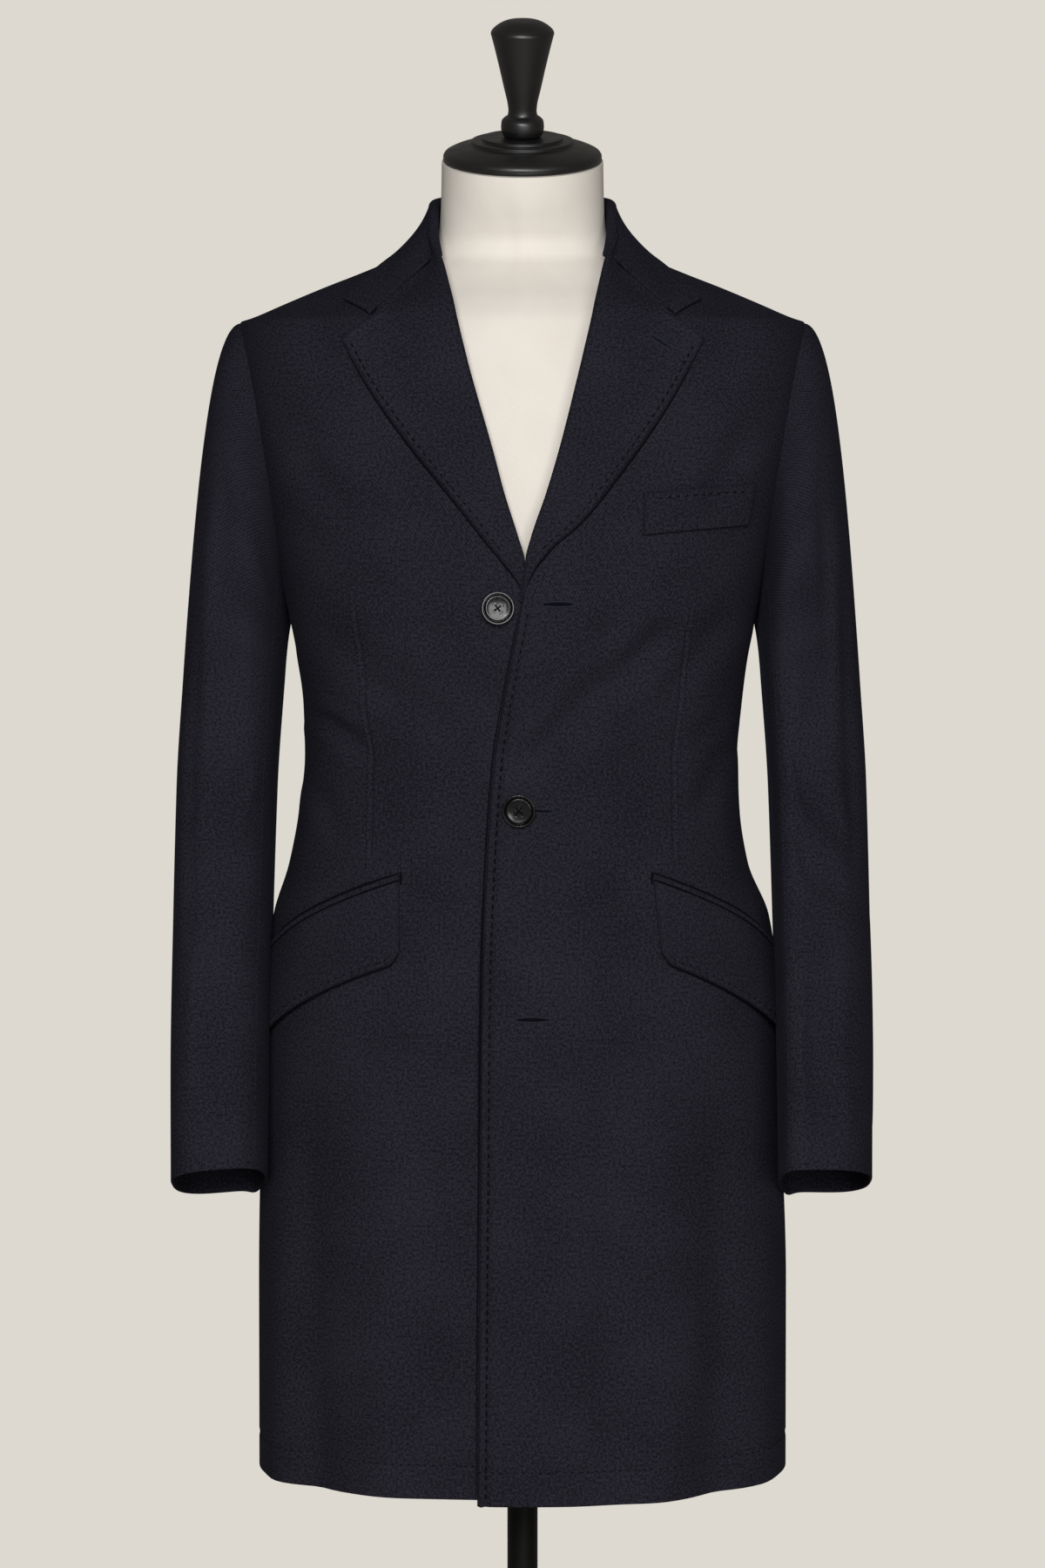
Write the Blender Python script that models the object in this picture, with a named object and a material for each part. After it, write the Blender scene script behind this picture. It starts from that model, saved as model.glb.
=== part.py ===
"""A single-breasted overcoat, buttoned on a limbless dress form.

Metres, +Z up. The origin is the centre of the base's underside, on the floor. The coat
faces -Y and the wearer's left is +X. Each piece that is cut and sewn is one closed wall,
and the pieces stand a seam's gap apart.
"""

import math
from typing import Callable, NamedTuple

import bmesh
import bpy
import numpy as np
from mathutils import Matrix, Vector

Place = Callable[[float, float], tuple[Vector, Vector]]

# Thicknesses and gaps.
CLOTH = 0.0020  # coating and lining together
DOUBLE = 0.0028  # lapels and collar: two layers of cloth over canvas
FLAP = 0.0022  # pocket flaps and the breast welt
JET = 0.0014
SEAM = 0.0003
ARMHOLE_SEAM = 0.0014
MERGE = 0.000001
LAY = 0.0008  # what lies on a panel stands this far off it
COLLAR_LAY = 0.0018

# Heights of the coat's lines.
HEM = 0.559
ARMPIT = 1.225
SHOULDER = 1.434
NECK = 1.494
BREAK = 1.246  # where the lapel starts to turn back
SIDE_SEAM_Y = 0.012
HEM_DIP = 0.004  # the hem hangs this much lower in front
HEM_DIP_REACH = 0.220
SKIRT_TOP = 1.022


class Section(NamedTuple):
    """One level section: half its width, its depths from the ridge line, and its corners."""

    height: float
    half_width: float
    front: float
    back: float
    ridge: float
    square: float


COAT = (
    Section(0.559, 0.2025, 0.1320, 0.1340, 0.000, 2.40),
    Section(0.700, 0.2025, 0.1290, 0.1340, 0.000, 2.40),
    Section(0.820, 0.1985, 0.1250, 0.1330, 0.000, 2.40),
    Section(0.900, 0.1926, 0.1210, 0.1290, 0.000, 2.40),
    Section(0.950, 0.1888, 0.1180, 0.1240, 0.000, 2.40),
    Section(0.982, 0.1855, 0.1165, 0.1190, 0.000, 2.38),
    Section(1.022, 0.1744, 0.1140, 0.1100, 0.000, 2.36),
    Section(1.062, 0.1678, 0.1120, 0.1010, 0.000, 2.34),
    Section(1.105, 0.1650, 0.1125, 0.0960, 0.000, 2.32),
    Section(1.142, 0.1674, 0.1160, 0.0980, 0.000, 2.34),
    Section(1.182, 0.1724, 0.1230, 0.1050, 0.000, 2.38),
    Section(1.225, 0.1810, 0.1300, 0.1140, 0.000, 2.42),
    Section(1.260, 0.1870, 0.1310, 0.1190, 0.001, 2.44),
    Section(1.300, 0.1950, 0.1280, 0.1220, 0.003, 2.44),
    Section(1.340, 0.2030, 0.1220, 0.1210, 0.005, 2.40),
    Section(1.380, 0.2090, 0.1150, 0.1150, 0.008, 2.32),
    Section(1.410, 0.2130, 0.1100, 0.1060, 0.010, 2.22),
    Section(1.434, 0.2155, 0.1050, 0.0980, 0.012, 2.12),
    Section(1.4485, 0.1780, 0.0920, 0.0920, 0.014, 2.06),
    Section(1.4605, 0.1500, 0.0790, 0.0850, 0.016, 2.02),
    Section(1.4725, 0.1205, 0.0660, 0.0760, 0.018, 2.00),
    Section(1.4840, 0.0960, 0.0560, 0.0670, 0.019, 2.00),
    Section(1.4940, 0.0770, 0.0470, 0.0580, 0.020, 2.00),
)


class Fold(NamedTuple):
    """One soft fold of the skirt: turn and width in degrees, depth out of the surface."""

    turn: float
    lean: float
    width: float
    depth: float
    top: float


FOLDS = (
    Fold(-64.0, 10.0, 8.0, 0.0050, 0.96),
    Fold(-47.0, 6.0, 6.0, -0.0040, 0.92),
    Fold(-30.0, -4.0, 9.0, 0.0040, 0.90),
    Fold(-116.0, -6.0, 9.0, 0.0035, 0.92),
    Fold(-137.0, -8.0, 6.0, -0.0055, 0.96),
    Fold(-152.0, 4.0, 8.0, 0.0050, 0.92),
    Fold(34.0, 6.0, 9.0, 0.0045, 0.92),
    Fold(58.0, -5.0, 8.0, -0.0050, 0.96),
    Fold(124.0, 6.0, 9.0, -0.0050, 0.95),
    Fold(148.0, -6.0, 9.0, 0.0045, 0.90),
)
FOLD_FULL = 0.060  # the folds keep their depth this far above the hem


class Knot(NamedTuple):
    """A line on a front, seen from the front: its distance from the centre at a height."""

    height: float
    across: float


# Distances past the centre of the coat are negative.
EDGE_LEFT = (
    Knot(0.559, -0.0340),
    Knot(0.773, -0.0322),
    Knot(0.950, -0.0302),
    Knot(1.018, -0.0277),
    Knot(1.103, -0.0219),
    Knot(1.167, -0.0116),
    Knot(1.223, -0.0030),
    Knot(1.246, 0.0010),
)
EDGE_RIGHT = (
    Knot(0.559, -0.0150),
    Knot(0.914, -0.0180),
    Knot(1.067, -0.0195),
    Knot(1.140, -0.0120),
    Knot(1.218, -0.0040),
    Knot(1.246, 0.0010),
)
ROLL = (
    Knot(1.2460, 0.0010),
    Knot(1.2560, 0.0022),
    Knot(1.3015, 0.0165),
    Knot(1.3455, 0.0285),
    Knot(1.3940, 0.0410),
    Knot(1.4537, 0.0552),
    Knot(1.4940, 0.0645),
)
LAPEL_EDGE = (
    Knot(1.2460, 0.0080),
    Knot(1.2571, 0.0174),
    Knot(1.2777, 0.0413),
    Knot(1.3152, 0.0719),
    Knot(1.3700, 0.1100),
    Knot(1.4165, 0.1360),
)
GORGE_ROWS = (1.4250, 1.4328, 1.4550, 1.4725)
GORGE = (Knot(1.4165, 0.1360), Knot(1.4328, 0.1130), Knot(1.4754, 0.0640))
LAPEL_STAND = (
    Knot(1.2460, 0.0015),
    Knot(1.3015, 0.0040),
    Knot(1.3940, 0.0060),
    Knot(1.4537, 0.0090),
    Knot(1.4790, 0.0130),
)
LAPEL_ROLL = 1.6  # how quickly the lapel settles from its roll on to the chest
LIFT = 0.0042  # the left front lies this far over the right
LIFT_BUTTON = 0.0042  # and this much more over the hidden button
LIFT_BUTTON_NEAR = 0.030
LIFT_BUTTON_FAR = 0.120
LIFT_FULL_X = 0.032
LIFT_NONE_X = 0.084
LIFT_FULL_Z = 1.247
LIFT_NONE_Z = 1.300


class ArmSection(NamedTuple):
    """A section across the sleeve: its centre, half sizes, and its tilt in degrees."""

    height: float
    centre_x: float
    centre_y: float
    half_width: float
    half_depth: float
    tilt: float


SLEEVE = (
    ArmSection(1.170, 0.2200, 0.0020, 0.0378, 0.0790, 0.0),
    ArmSection(1.080, 0.2255, -0.0080, 0.0375, 0.0700, 4.0),
    ArmSection(0.980, 0.2274, -0.0300, 0.0370, 0.0640, 11.0),
    ArmSection(0.880, 0.2286, -0.0540, 0.0364, 0.0590, 15.0),
    ArmSection(0.786, 0.2280, -0.0770, 0.0356, 0.0550, 16.0),
)
SLEEVE_SQUARE = 2.2
SLEEVE_LEAN = 0.07  # the cuff rises towards the body
ARMHOLE_FRONT = 0.066
ARMHOLE_BACK = 0.072
ARMHOLE_EGG = 0.25
CAP_OUT = 0.022
CAP_DOWN = 0.015
CAP_DROOP = 0.002
BICEPS_SLOPE = 0.040  # length over which the sleeve's own slope is taken
FRONT_ARM_SEAM = 118.0  # degrees round the sleeve from its outer line, to the front
BACK_ARM_SEAM = -124.0


class CollarRow(NamedTuple):
    """A section of the collar: the fold's top, the stand's foot, and where the fall's edge lies."""

    fold_x: float
    fold_y: float
    fold_z: float
    foot_x: float
    foot_y: float
    foot_z: float
    edge_turn: float
    edge_height: float


# From the gorge seam round to the centre of the back.
COLLAR = (
    CollarRow(0.0625, -0.0410, 1.4850, 0.0620, -0.0405, 1.4790, -45.8, 1.4460),
    CollarRow(0.0670, -0.0210, 1.5040, 0.0645, -0.0200, 1.4910, -33.0, 1.4675),
    CollarRow(0.0680, -0.0010, 1.5180, 0.0705, 0.0000, 1.4958, -17.0, 1.4815),
    CollarRow(0.0680, 0.0230, 1.5265, 0.0735, 0.0220, 1.4958, 2.0, 1.4880),
    CollarRow(0.0610, 0.0490, 1.5315, 0.0660, 0.0470, 1.4956, 28.0, 1.4895),
    CollarRow(0.0375, 0.0705, 1.5345, 0.0400, 0.0685, 1.4956, 58.0, 1.4895),
    CollarRow(0.0000, 0.0785, 1.5350, 0.0000, 0.0770, 1.4956, 90.0, 1.4895),
)
NOTCH = Knot(1.4350, 0.1125)
NOTCH_SHARE = 0.72  # of the way from the fold to the collar's point
NOTCH_REACH = 2.2  # rows of the table over which the notch's bend dies out
COLLAR_CROWD = 1.1  # the drawn rows crowd this little towards the notch
STAND_FOLD = 0.6  # the fold takes at most this share of a low stand
FOLD_HALF = 0.0028
FOLD_DROP = 0.0040
FALL_BULGE = -0.0015  # the fall hollows a little as it spreads on to the shoulder

# Pockets and buttons.
FLAP_FRONT_X = 0.0916
FLAP_BACK_TURN = -13.0
FLAP_TOP_FRONT = 1.0125
FLAP_TOP_BACK = 0.9600
FLAP_DEEP_FRONT = 0.0610
FLAP_DEEP_BACK = 0.0740
FLAP_CORNER = 0.09  # share of the flap's length taken by its rounded corner
FLAP_ROUND = 0.12  # share of the flap's depth that the corner rounds off
FLAP_FLARE = 0.0010
JET_GAP = 0.0006
JET_HIGH = 0.0065
WELT_CORNERS = ((0.0885, 1.2713), (0.1680, 1.2794), (0.0897, 1.3029), (0.1730, 1.3107))
BUTTON_RADIUS = 0.0120
BUTTON_THICK = 0.0042
BUTTON_OFF = 0.0009
BUTTON_TOP = (0.0187, 1.2179)
BUTTON_BOTTOM = (0.0040, 0.9137)
BUTTON_MIDDLE = (-0.0026, 1.0674)

# The dress form and its stand.
FORM = (
    Section(0.800, 0.1400, 0.0780, 0.0900, 0.000, 2.30),
    Section(0.808, 0.1560, 0.0900, 0.1040, 0.000, 2.30),
    Section(0.835, 0.1700, 0.1000, 0.1140, 0.000, 2.30),
    Section(0.900, 0.1790, 0.1040, 0.1160, 0.000, 2.30),
    Section(0.960, 0.1750, 0.1030, 0.1110, 0.000, 2.30),
    Section(1.030, 0.1580, 0.1000, 0.0950, 0.000, 2.30),
    Section(1.105, 0.1490, 0.0990, 0.0830, 0.000, 2.30),
    Section(1.180, 0.1570, 0.1090, 0.0930, 0.000, 2.34),
    Section(1.240, 0.1680, 0.1190, 0.1050, 0.000, 2.38),
    Section(1.300, 0.1770, 0.1165, 0.1110, 0.002, 2.38),
    Section(1.360, 0.1880, 0.1070, 0.1070, 0.006, 2.30),
    Section(1.400, 0.1940, 0.0990, 0.0990, 0.009, 2.20),
    Section(1.420, 0.1920, 0.0950, 0.0920, 0.011, 2.14),
    Section(1.434, 0.1810, 0.0905, 0.0880, 0.012, 2.10),
    Section(1.4485, 0.1560, 0.0810, 0.0820, 0.014, 2.04),
    Section(1.4605, 0.1290, 0.0690, 0.0740, 0.015, 2.00),
    Section(1.4725, 0.1010, 0.0580, 0.0640, 0.016, 2.00),
    Section(1.4830, 0.0785, 0.0490, 0.0560, 0.016, 2.00),
    Section(1.4930, 0.0680, 0.0475, 0.0530, 0.015, 2.00),
    Section(1.5060, 0.0638, 0.0515, 0.0530, 0.012, 2.00),
    Section(1.5250, 0.0622, 0.0565, 0.0560, 0.008, 2.00),
    Section(1.5562, 0.0615, 0.0610, 0.0610, 0.002, 2.00),
)
NECK_TILT = 16.0  # degrees the cap leans forward
NECK_TILT_FROM = 1.493
# Radius and height up the axis.
CAP_PROFILE = (
    (0.0000, 0.0000),
    (0.0588, 0.0000),
    (0.0604, 0.0014),
    (0.0604, 0.0040),
    (0.0592, 0.0066),
    (0.0540, 0.0096),
    (0.0470, 0.0121),
    (0.0400, 0.0136),
    (0.0392, 0.0142),
    (0.0392, 0.0155),
    (0.0384, 0.0162),
    (0.0318, 0.0164),
    (0.0311, 0.0170),
    (0.0311, 0.0180),
    (0.0304, 0.0186),
    (0.0000, 0.0186),
)
FINIAL_PROFILE = (
    (0.0000, 0.0000),
    (0.0128, 0.0000),
    (0.0154, 0.0024),
    (0.0164, 0.0070),
    (0.0160, 0.0118),
    (0.0140, 0.0145),
    (0.0114, 0.0165),
    (0.0108, 0.0200),
    (0.0113, 0.0250),
    (0.0143, 0.0390),
    (0.0171, 0.0520),
    (0.0203, 0.0660),
    (0.0234, 0.0785),
    (0.0240, 0.0815),
    (0.0234, 0.0842),
    (0.0190, 0.0884),
    (0.0110, 0.0918),
    (0.0000, 0.0930),
)
POLE_RADIUS = 0.0117
BASE_PROFILE = (
    (0.0000, 0.0000),
    (0.1960, 0.0000),
    (0.2000, 0.0030),
    (0.2000, 0.0120),
    (0.1950, 0.0165),
    (0.1500, 0.0200),
    (0.0600, 0.0230),
    (0.0300, 0.0260),
    (0.0260, 0.0300),
    (0.0000, 0.0300),
)
# Shares of the button's radius and thickness.
BUTTON_PROFILE = (
    (0.00, 0.00),
    (0.80, 0.00),
    (0.97, 0.25),
    (1.00, 0.55),
    (0.95, 0.90),
    (0.84, 1.00),
    (0.72, 0.92),
    (0.62, 0.70),
    (0.00, 0.62),
)

# How finely the pieces are drawn.
SKIRT_ROWS = 8
WAIST_ROWS = 6
ARMHOLE_ROWS = 6
SHOULDER_ROWS = 5
FRONT_COLUMNS = 11
BACK_COLUMNS = 8
LAPEL_ROWS = 10
LAPEL_COLUMNS = 6
COLLAR_STEPS = 16
FALL_SHARES = (0.25, 0.5, NOTCH_SHARE, 1.0)
CAP_SHARES = (0.0, 0.1, 0.22, 0.36, 0.52, 0.7, 0.86)
ARM_ROWS = 8
TOP_COLUMNS = 14
UNDER_COLUMNS = 7
FLAP_ROWS = 3
FLAP_COLUMNS = 6
WELT_ROWS = 2
WELT_COLUMNS = 6
FORM_SIDES = 30
FORM_TALL = 0.050  # a stretch of the form taller than this is drawn in two
CAP_SIDES = 28
SMALL_SIDES = 22
BASE_SIDES = 40
SHARP_ANGLE = math.radians(35)

BODY = ((0.018, 0.018, 0.026, 1.0), 0.92)
TRIM = ((0.020, 0.020, 0.028, 1.0), 0.92)
LINEN = ((0.730, 0.665, 0.590, 1.0), 0.85)
HORN = ((0.022, 0.018, 0.016, 1.0), 0.40)
LACQUER = ((0.017, 0.015, 0.015, 1.0), 0.30)
PAINT = ((0.006, 0.006, 0.006, 1.0), 0.45)


class Smooth:
    """A smooth curve through knots that never overshoots them."""

    def __init__(self, knots: list[float], values: list[float]) -> None:
        self.knots = np.array(knots)
        self.values = np.array(values)
        gaps = np.diff(self.knots)
        slopes = np.diff(self.values) / gaps
        tangents = np.zeros(len(knots))
        tangents[0] = slopes[0]
        tangents[-1] = slopes[-1]
        for i in range(1, len(knots) - 1):
            if slopes[i - 1] * slopes[i] > 0:
                first = 2 * gaps[i] + gaps[i - 1]
                second = gaps[i] + 2 * gaps[i - 1]
                tangents[i] = (first + second) / (first / slopes[i - 1] + second / slopes[i])
        self.tangents = tangents

    def __call__(self, at: float) -> float:
        at = min(max(at, self.knots[0]), self.knots[-1])
        i = min(int(np.searchsorted(self.knots, at, side="right")) - 1, len(self.knots) - 2)
        i = max(i, 0)
        gap = self.knots[i + 1] - self.knots[i]
        t = (at - self.knots[i]) / gap
        return float(
            self.values[i] * (1 + 2 * t) * (1 - t) ** 2
            + self.tangents[i] * gap * t * (1 - t) ** 2
            + self.values[i + 1] * t * t * (3 - 2 * t)
            + self.tangents[i + 1] * gap * t * t * (t - 1)
        )


def columns_of(table: tuple, key: str) -> dict[str, Smooth]:
    """One smooth curve over the key for each other column of the table."""
    names = table[0]._fields
    keys = [getattr(row, key) for row in table]
    return {
        name: Smooth(keys, [getattr(row, name) for row in table]) for name in names if name != key
    }


def line_of(knots: tuple) -> Smooth:
    """A line on a front as a curve over height."""
    return Smooth([knot.height for knot in knots], [knot.across for knot in knots])


def signed_power(value: float, power: float) -> float:
    """The power of a number's size, with its sign kept."""
    return math.copysign(abs(value) ** power, value)


def ease(value: float, low: float, high: float) -> float:
    """0 at low, 1 at high, smooth between."""
    t = min(max((value - low) / (high - low), 0.0), 1.0)
    return t * t * (3 - 2 * t)


def mix(a: float, b: float, t: float) -> float:
    """The number a share t of the way from a to b."""
    return a + (b - a) * t


class Tube:
    """An upright surface through level sections: a turn round it and a height give a point."""

    def __init__(self, table: tuple, folds: tuple = ()) -> None:
        self.curves = columns_of(table, "height")
        self.folds = folds

    def at(self, name: str, height: float) -> float:
        """The named size of the section at a height."""
        return self.curves[name](height)

    def fold(self, turn: float, height: float) -> float:
        """How far the folds push the surface out."""
        pushed = 0.0
        degrees = math.degrees(turn)
        for fold in self.folds:
            away = degrees - fold.turn - fold.lean * (height - HEM)
            away = (away + 180.0) % 360.0 - 180.0
            share = 1.0 - ease(height, HEM + FOLD_FULL, fold.top)
            pushed += fold.depth * share * math.exp(-((away / fold.width) ** 2))
        return pushed

    def point(self, turn: float, height: float) -> Vector:
        """The point at a turn (0 at +X, a quarter turn back at -Y) and a height."""
        wide = self.at("half_width", height)
        ridge = self.at("ridge", height)
        square = self.at("square", height)
        deep = self.at("front" if math.sin(turn) < 0 else "back", height)
        x = wide * signed_power(math.cos(turn), 2 / square)
        y = deep * signed_power(math.sin(turn), 2 / square)
        out_x = signed_power(x / wide, square - 1) / wide
        out_y = signed_power(y / deep, square - 1) / deep
        out = Vector((out_x, out_y, 0.0)).normalized()
        return Vector((x, y + ridge, height)) + out * self.fold(turn, height)

    def normal(self, turn: float, height: float) -> Vector:
        """The outward direction at a turn and a height."""
        step = 0.008
        rise = 0.0015
        round_it = self.point(turn + step, height) - self.point(turn - step, height)
        up_it = self.point(turn, height + rise) - self.point(turn, height - rise)
        return round_it.cross(up_it).normalized()

    def turn_at_x(self, x: float, height: float) -> float:
        """The turn, on the front, of the point this far across."""
        share = min(max(x / self.at("half_width", height), -1.0), 1.0)
        return -math.acos(signed_power(share, self.at("square", height) / 2))

    def turn_at_y(self, y: float, height: float) -> float:
        """The turn, on the +X side, of the point this far back."""
        off = y - self.at("ridge", height)
        deep = self.at("front" if off < 0 else "back", height)
        share = min(max(off / deep, -1.0), 1.0)
        return math.asin(signed_power(share, self.at("square", height) / 2))

    def off(self, turn: float, height: float, out: float) -> tuple[Vector, Vector]:
        """The point moved out along the surface's own direction, and that direction."""
        normal = self.normal(turn, height)
        return self.point(turn, height) + normal * out, normal

    def clear(self, point: Vector, gap: float) -> Vector:
        """The point, pushed out until it is a gap off the surface."""
        for _ in range(3):
            height = point.z
            off = point.y - self.at("ridge", height)
            deep = self.at("front" if off < 0 else "back", height)
            power = self.at("square", height) / 2
            across = signed_power(point.x / self.at("half_width", height), power)
            along = signed_power(off / deep, power)
            turn = math.atan2(along, across)
            normal = self.normal(turn, height)
            short = gap - (point - self.point(turn, height)).dot(normal)
            if short > 0:
                point = point + normal * short
        return point


coat = Tube(COAT, FOLDS)
# A mirrored coat whose folds fall where the real right side has them.
coat_right = Tube(COAT, tuple(fold._replace(turn=180.0 - fold.turn, lean=-fold.lean) for fold in FOLDS))
edge_left = line_of(EDGE_LEFT)
edge_right = line_of(EDGE_RIGHT)
roll = line_of(ROLL)
lapel_edge = line_of(LAPEL_EDGE)
lapel_stand = line_of(LAPEL_STAND)
arm = {
    name: Smooth([-row.height for row in SLEEVE], [getattr(row, name) for row in SLEEVE])
    for name in ArmSection._fields
    if name != "height"
}


def gorge(height: float) -> float:
    """How far across the lapel's top edge is at a height."""
    return float(np.interp(height, [k.height for k in GORGE], [k.across for k in GORGE]))


def lift(x: float, height: float) -> float:
    """How far the left front lies out over the right one."""
    across = 1.0 - ease(x, LIFT_FULL_X, LIFT_NONE_X)
    upward = 1.0 - ease(height, LIFT_FULL_Z, LIFT_NONE_Z)
    away = math.hypot(x + BUTTON_BOTTOM[0], height - BUTTON_BOTTOM[1])
    button = LIFT_BUTTON * (1.0 - ease(away, LIFT_BUTTON_NEAR, LIFT_BUTTON_FAR))
    return across * upward * (LIFT + button)


def seam_y(height: float, face: int) -> float:
    """Where a front (face -1) or a back (face 1) ends at the side: seam, armhole or shoulder."""
    half = face * SEAM / 2
    if height <= ARMPIT:
        return SIDE_SEAM_Y + half
    if height >= SHOULDER:
        return coat.at("ridge", height) + half
    share = (height - ARMPIT) / (SHOULDER - ARMPIT)
    deep = ARMHOLE_FRONT if face < 0 else ARMHOLE_BACK
    egg = math.sqrt(4 * share * (1 - share)) * (1 + ARMHOLE_EGG * (0.5 - share))
    return mix(SIDE_SEAM_Y, coat.at("ridge", height), share) + half + face * deep * egg


def hung(height: float, turn: float) -> float:
    """The height with the hem's dip in front worked in."""
    front = max(0.0, -math.sin(turn)) ** 2
    return height - HEM_DIP * front * (1.0 - ease(height, HEM, HEM + HEM_DIP_REACH))


def panel_heights() -> list[float]:
    """The rows of a body panel, from hem to neck."""
    skirt = np.linspace(HEM, SKIRT_TOP, SKIRT_ROWS + 1)
    waist = np.linspace(SKIRT_TOP, ARMPIT, WAIST_ROWS + 1)
    round_it = np.linspace(0, math.pi, ARMHOLE_ROWS + 1)
    armhole = ARMPIT + (SHOULDER - ARMPIT) * (1 - np.cos(round_it)) / 2
    shoulder = np.linspace(SHOULDER, NECK, SHOULDER_ROWS + 1)
    rows = np.concatenate([skirt[:-1], waist[:-1], armhole[:-1], shoulder])
    return [float(row) for row in rows]


def add_object(name: str, mesh: bpy.types.Mesh, finish: tuple) -> bpy.types.Object:
    """Puts a mesh in the scene as a named piece with its own material."""
    obj = bpy.data.objects.new(name, mesh)
    bpy.context.scene.collection.objects.link(obj)
    colour, rough = finish
    material = bpy.data.materials.new(name)
    material.use_nodes = True
    shader = material.node_tree.nodes["Principled BSDF"]
    shader.inputs["Base Color"].default_value = colour
    shader.inputs["Roughness"].default_value = rough
    mesh.materials.append(material)
    mesh.shade_smooth()
    mesh.set_sharp_from_angle(angle=SHARP_ANGLE)
    return obj


def wall(name: str, outer: list, inner: list, finish: tuple, mirrored: bool = False) -> bpy.types.Object:
    """Closes two grids of points, an outer and an inner face, into one wall."""
    bm = bmesh.new()
    flip = -1.0 if mirrored else 1.0
    faces = []
    for grid in (outer, inner):
        faces.append([[bm.verts.new((p.x * flip, p.y, p.z)) for p in row] for row in grid])
    rows = len(outer)
    columns = len(outer[0])
    for side in faces:
        for i in range(rows - 1):
            for j in range(columns - 1):
                bm.faces.new((side[i][j], side[i][j + 1], side[i + 1][j + 1], side[i + 1][j]))
    rim = [(0, j) for j in range(columns)]
    rim += [(i, columns - 1) for i in range(1, rows)]
    rim += [(rows - 1, j) for j in range(columns - 2, -1, -1)]
    rim += [(i, 0) for i in range(rows - 2, 0, -1)]
    for here, there in zip(rim, rim[1:] + rim[:1]):
        a, b = faces[0][here[0]][here[1]], faces[0][there[0]][there[1]]
        c, d = faces[1][there[0]][there[1]], faces[1][here[0]][here[1]]
        bm.faces.new((a, b, c, d))
    bmesh.ops.recalc_face_normals(bm, faces=bm.faces)
    mesh = bpy.data.meshes.new(name)
    bm.to_mesh(mesh)
    bm.free()
    return add_object(name, mesh, finish)


def cloth(name: str, rows: list, columns: list, place: Place, thick: float, finish: tuple,
          mirrored: bool = False) -> bpy.types.Object:
    """A wall whose outer face is placed point by point and whose inner face lies a thickness in."""
    outer = []
    inner = []
    for row in rows:
        placed = [place(row, column) for column in columns]
        outer.append([point for point, _ in placed])
        inner.append([point - normal * thick for point, normal in placed])
    return wall(name, outer, inner, finish, mirrored)


def shares(count: int) -> list[float]:
    """Even steps from 0 to 1."""
    return [i / count for i in range(count + 1)]


def build_front(side: str) -> None:
    """One front, from its edge and roll line to the side seam, armhole and shoulder seam."""
    left = side == "left"
    surface = coat if left else coat_right
    edge = edge_left if left else edge_right

    def place(height: float, share: float) -> tuple[Vector, Vector]:
        start_x = edge(height) if height < BREAK else roll(height)
        start = surface.turn_at_x(start_x, height)
        end = surface.turn_at_y(seam_y(height, -1), height)
        turn = mix(start, end, share)
        x = surface.point(turn, height).x
        out = lift(x, height) if left else 0.0
        point, normal = surface.off(turn, height, out)
        point.z = point.z + hung(height, turn) - height
        return point, normal

    cloth(f"front_{side}", panel_heights(), shares(FRONT_COLUMNS), place, CLOTH, BODY, not left)


def build_back(side: str) -> None:
    """One half of the back, from the centre seam to the side seam, armhole and shoulder seam."""
    left = side == "left"
    surface = coat if left else coat_right

    def place(height: float, share: float) -> tuple[Vector, Vector]:
        start = surface.turn_at_y(seam_y(height, 1), height)
        wide = surface.at("half_width", height)
        middle = math.acos((SEAM / 2 / wide) ** (surface.at("square", height) / 2))
        return surface.off(mix(start, middle, share), height, 0.0)

    cloth(f"back_{side}", panel_heights(), shares(BACK_COLUMNS), place, CLOTH, BODY, not left)


def build_lapel(side: str) -> None:
    """A lapel, lying on its front from the roll line to its edge, the gorge seam and the notch."""
    left = side == "left"
    surface = coat if left else coat_right
    tip = LAPEL_EDGE[-1].height
    rows = list(np.linspace(BREAK, tip, LAPEL_ROWS + 1)) + list(GORGE_ROWS)

    def place(height: float, share: float) -> tuple[Vector, Vector]:
        outer_x = lapel_edge(height) if height <= tip else gorge(height)
        x = mix(roll(height), outer_x, share)
        out = LAY + DOUBLE + lapel_stand(height) * (1 - share) ** LAPEL_ROLL
        if left:
            out += lift(x, height)
        return surface.off(surface.turn_at_x(x, height), height, out)

    cloth(f"lapel_{side}", rows, shares(LAPEL_COLUMNS), place, DOUBLE, BODY, not left)


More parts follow.
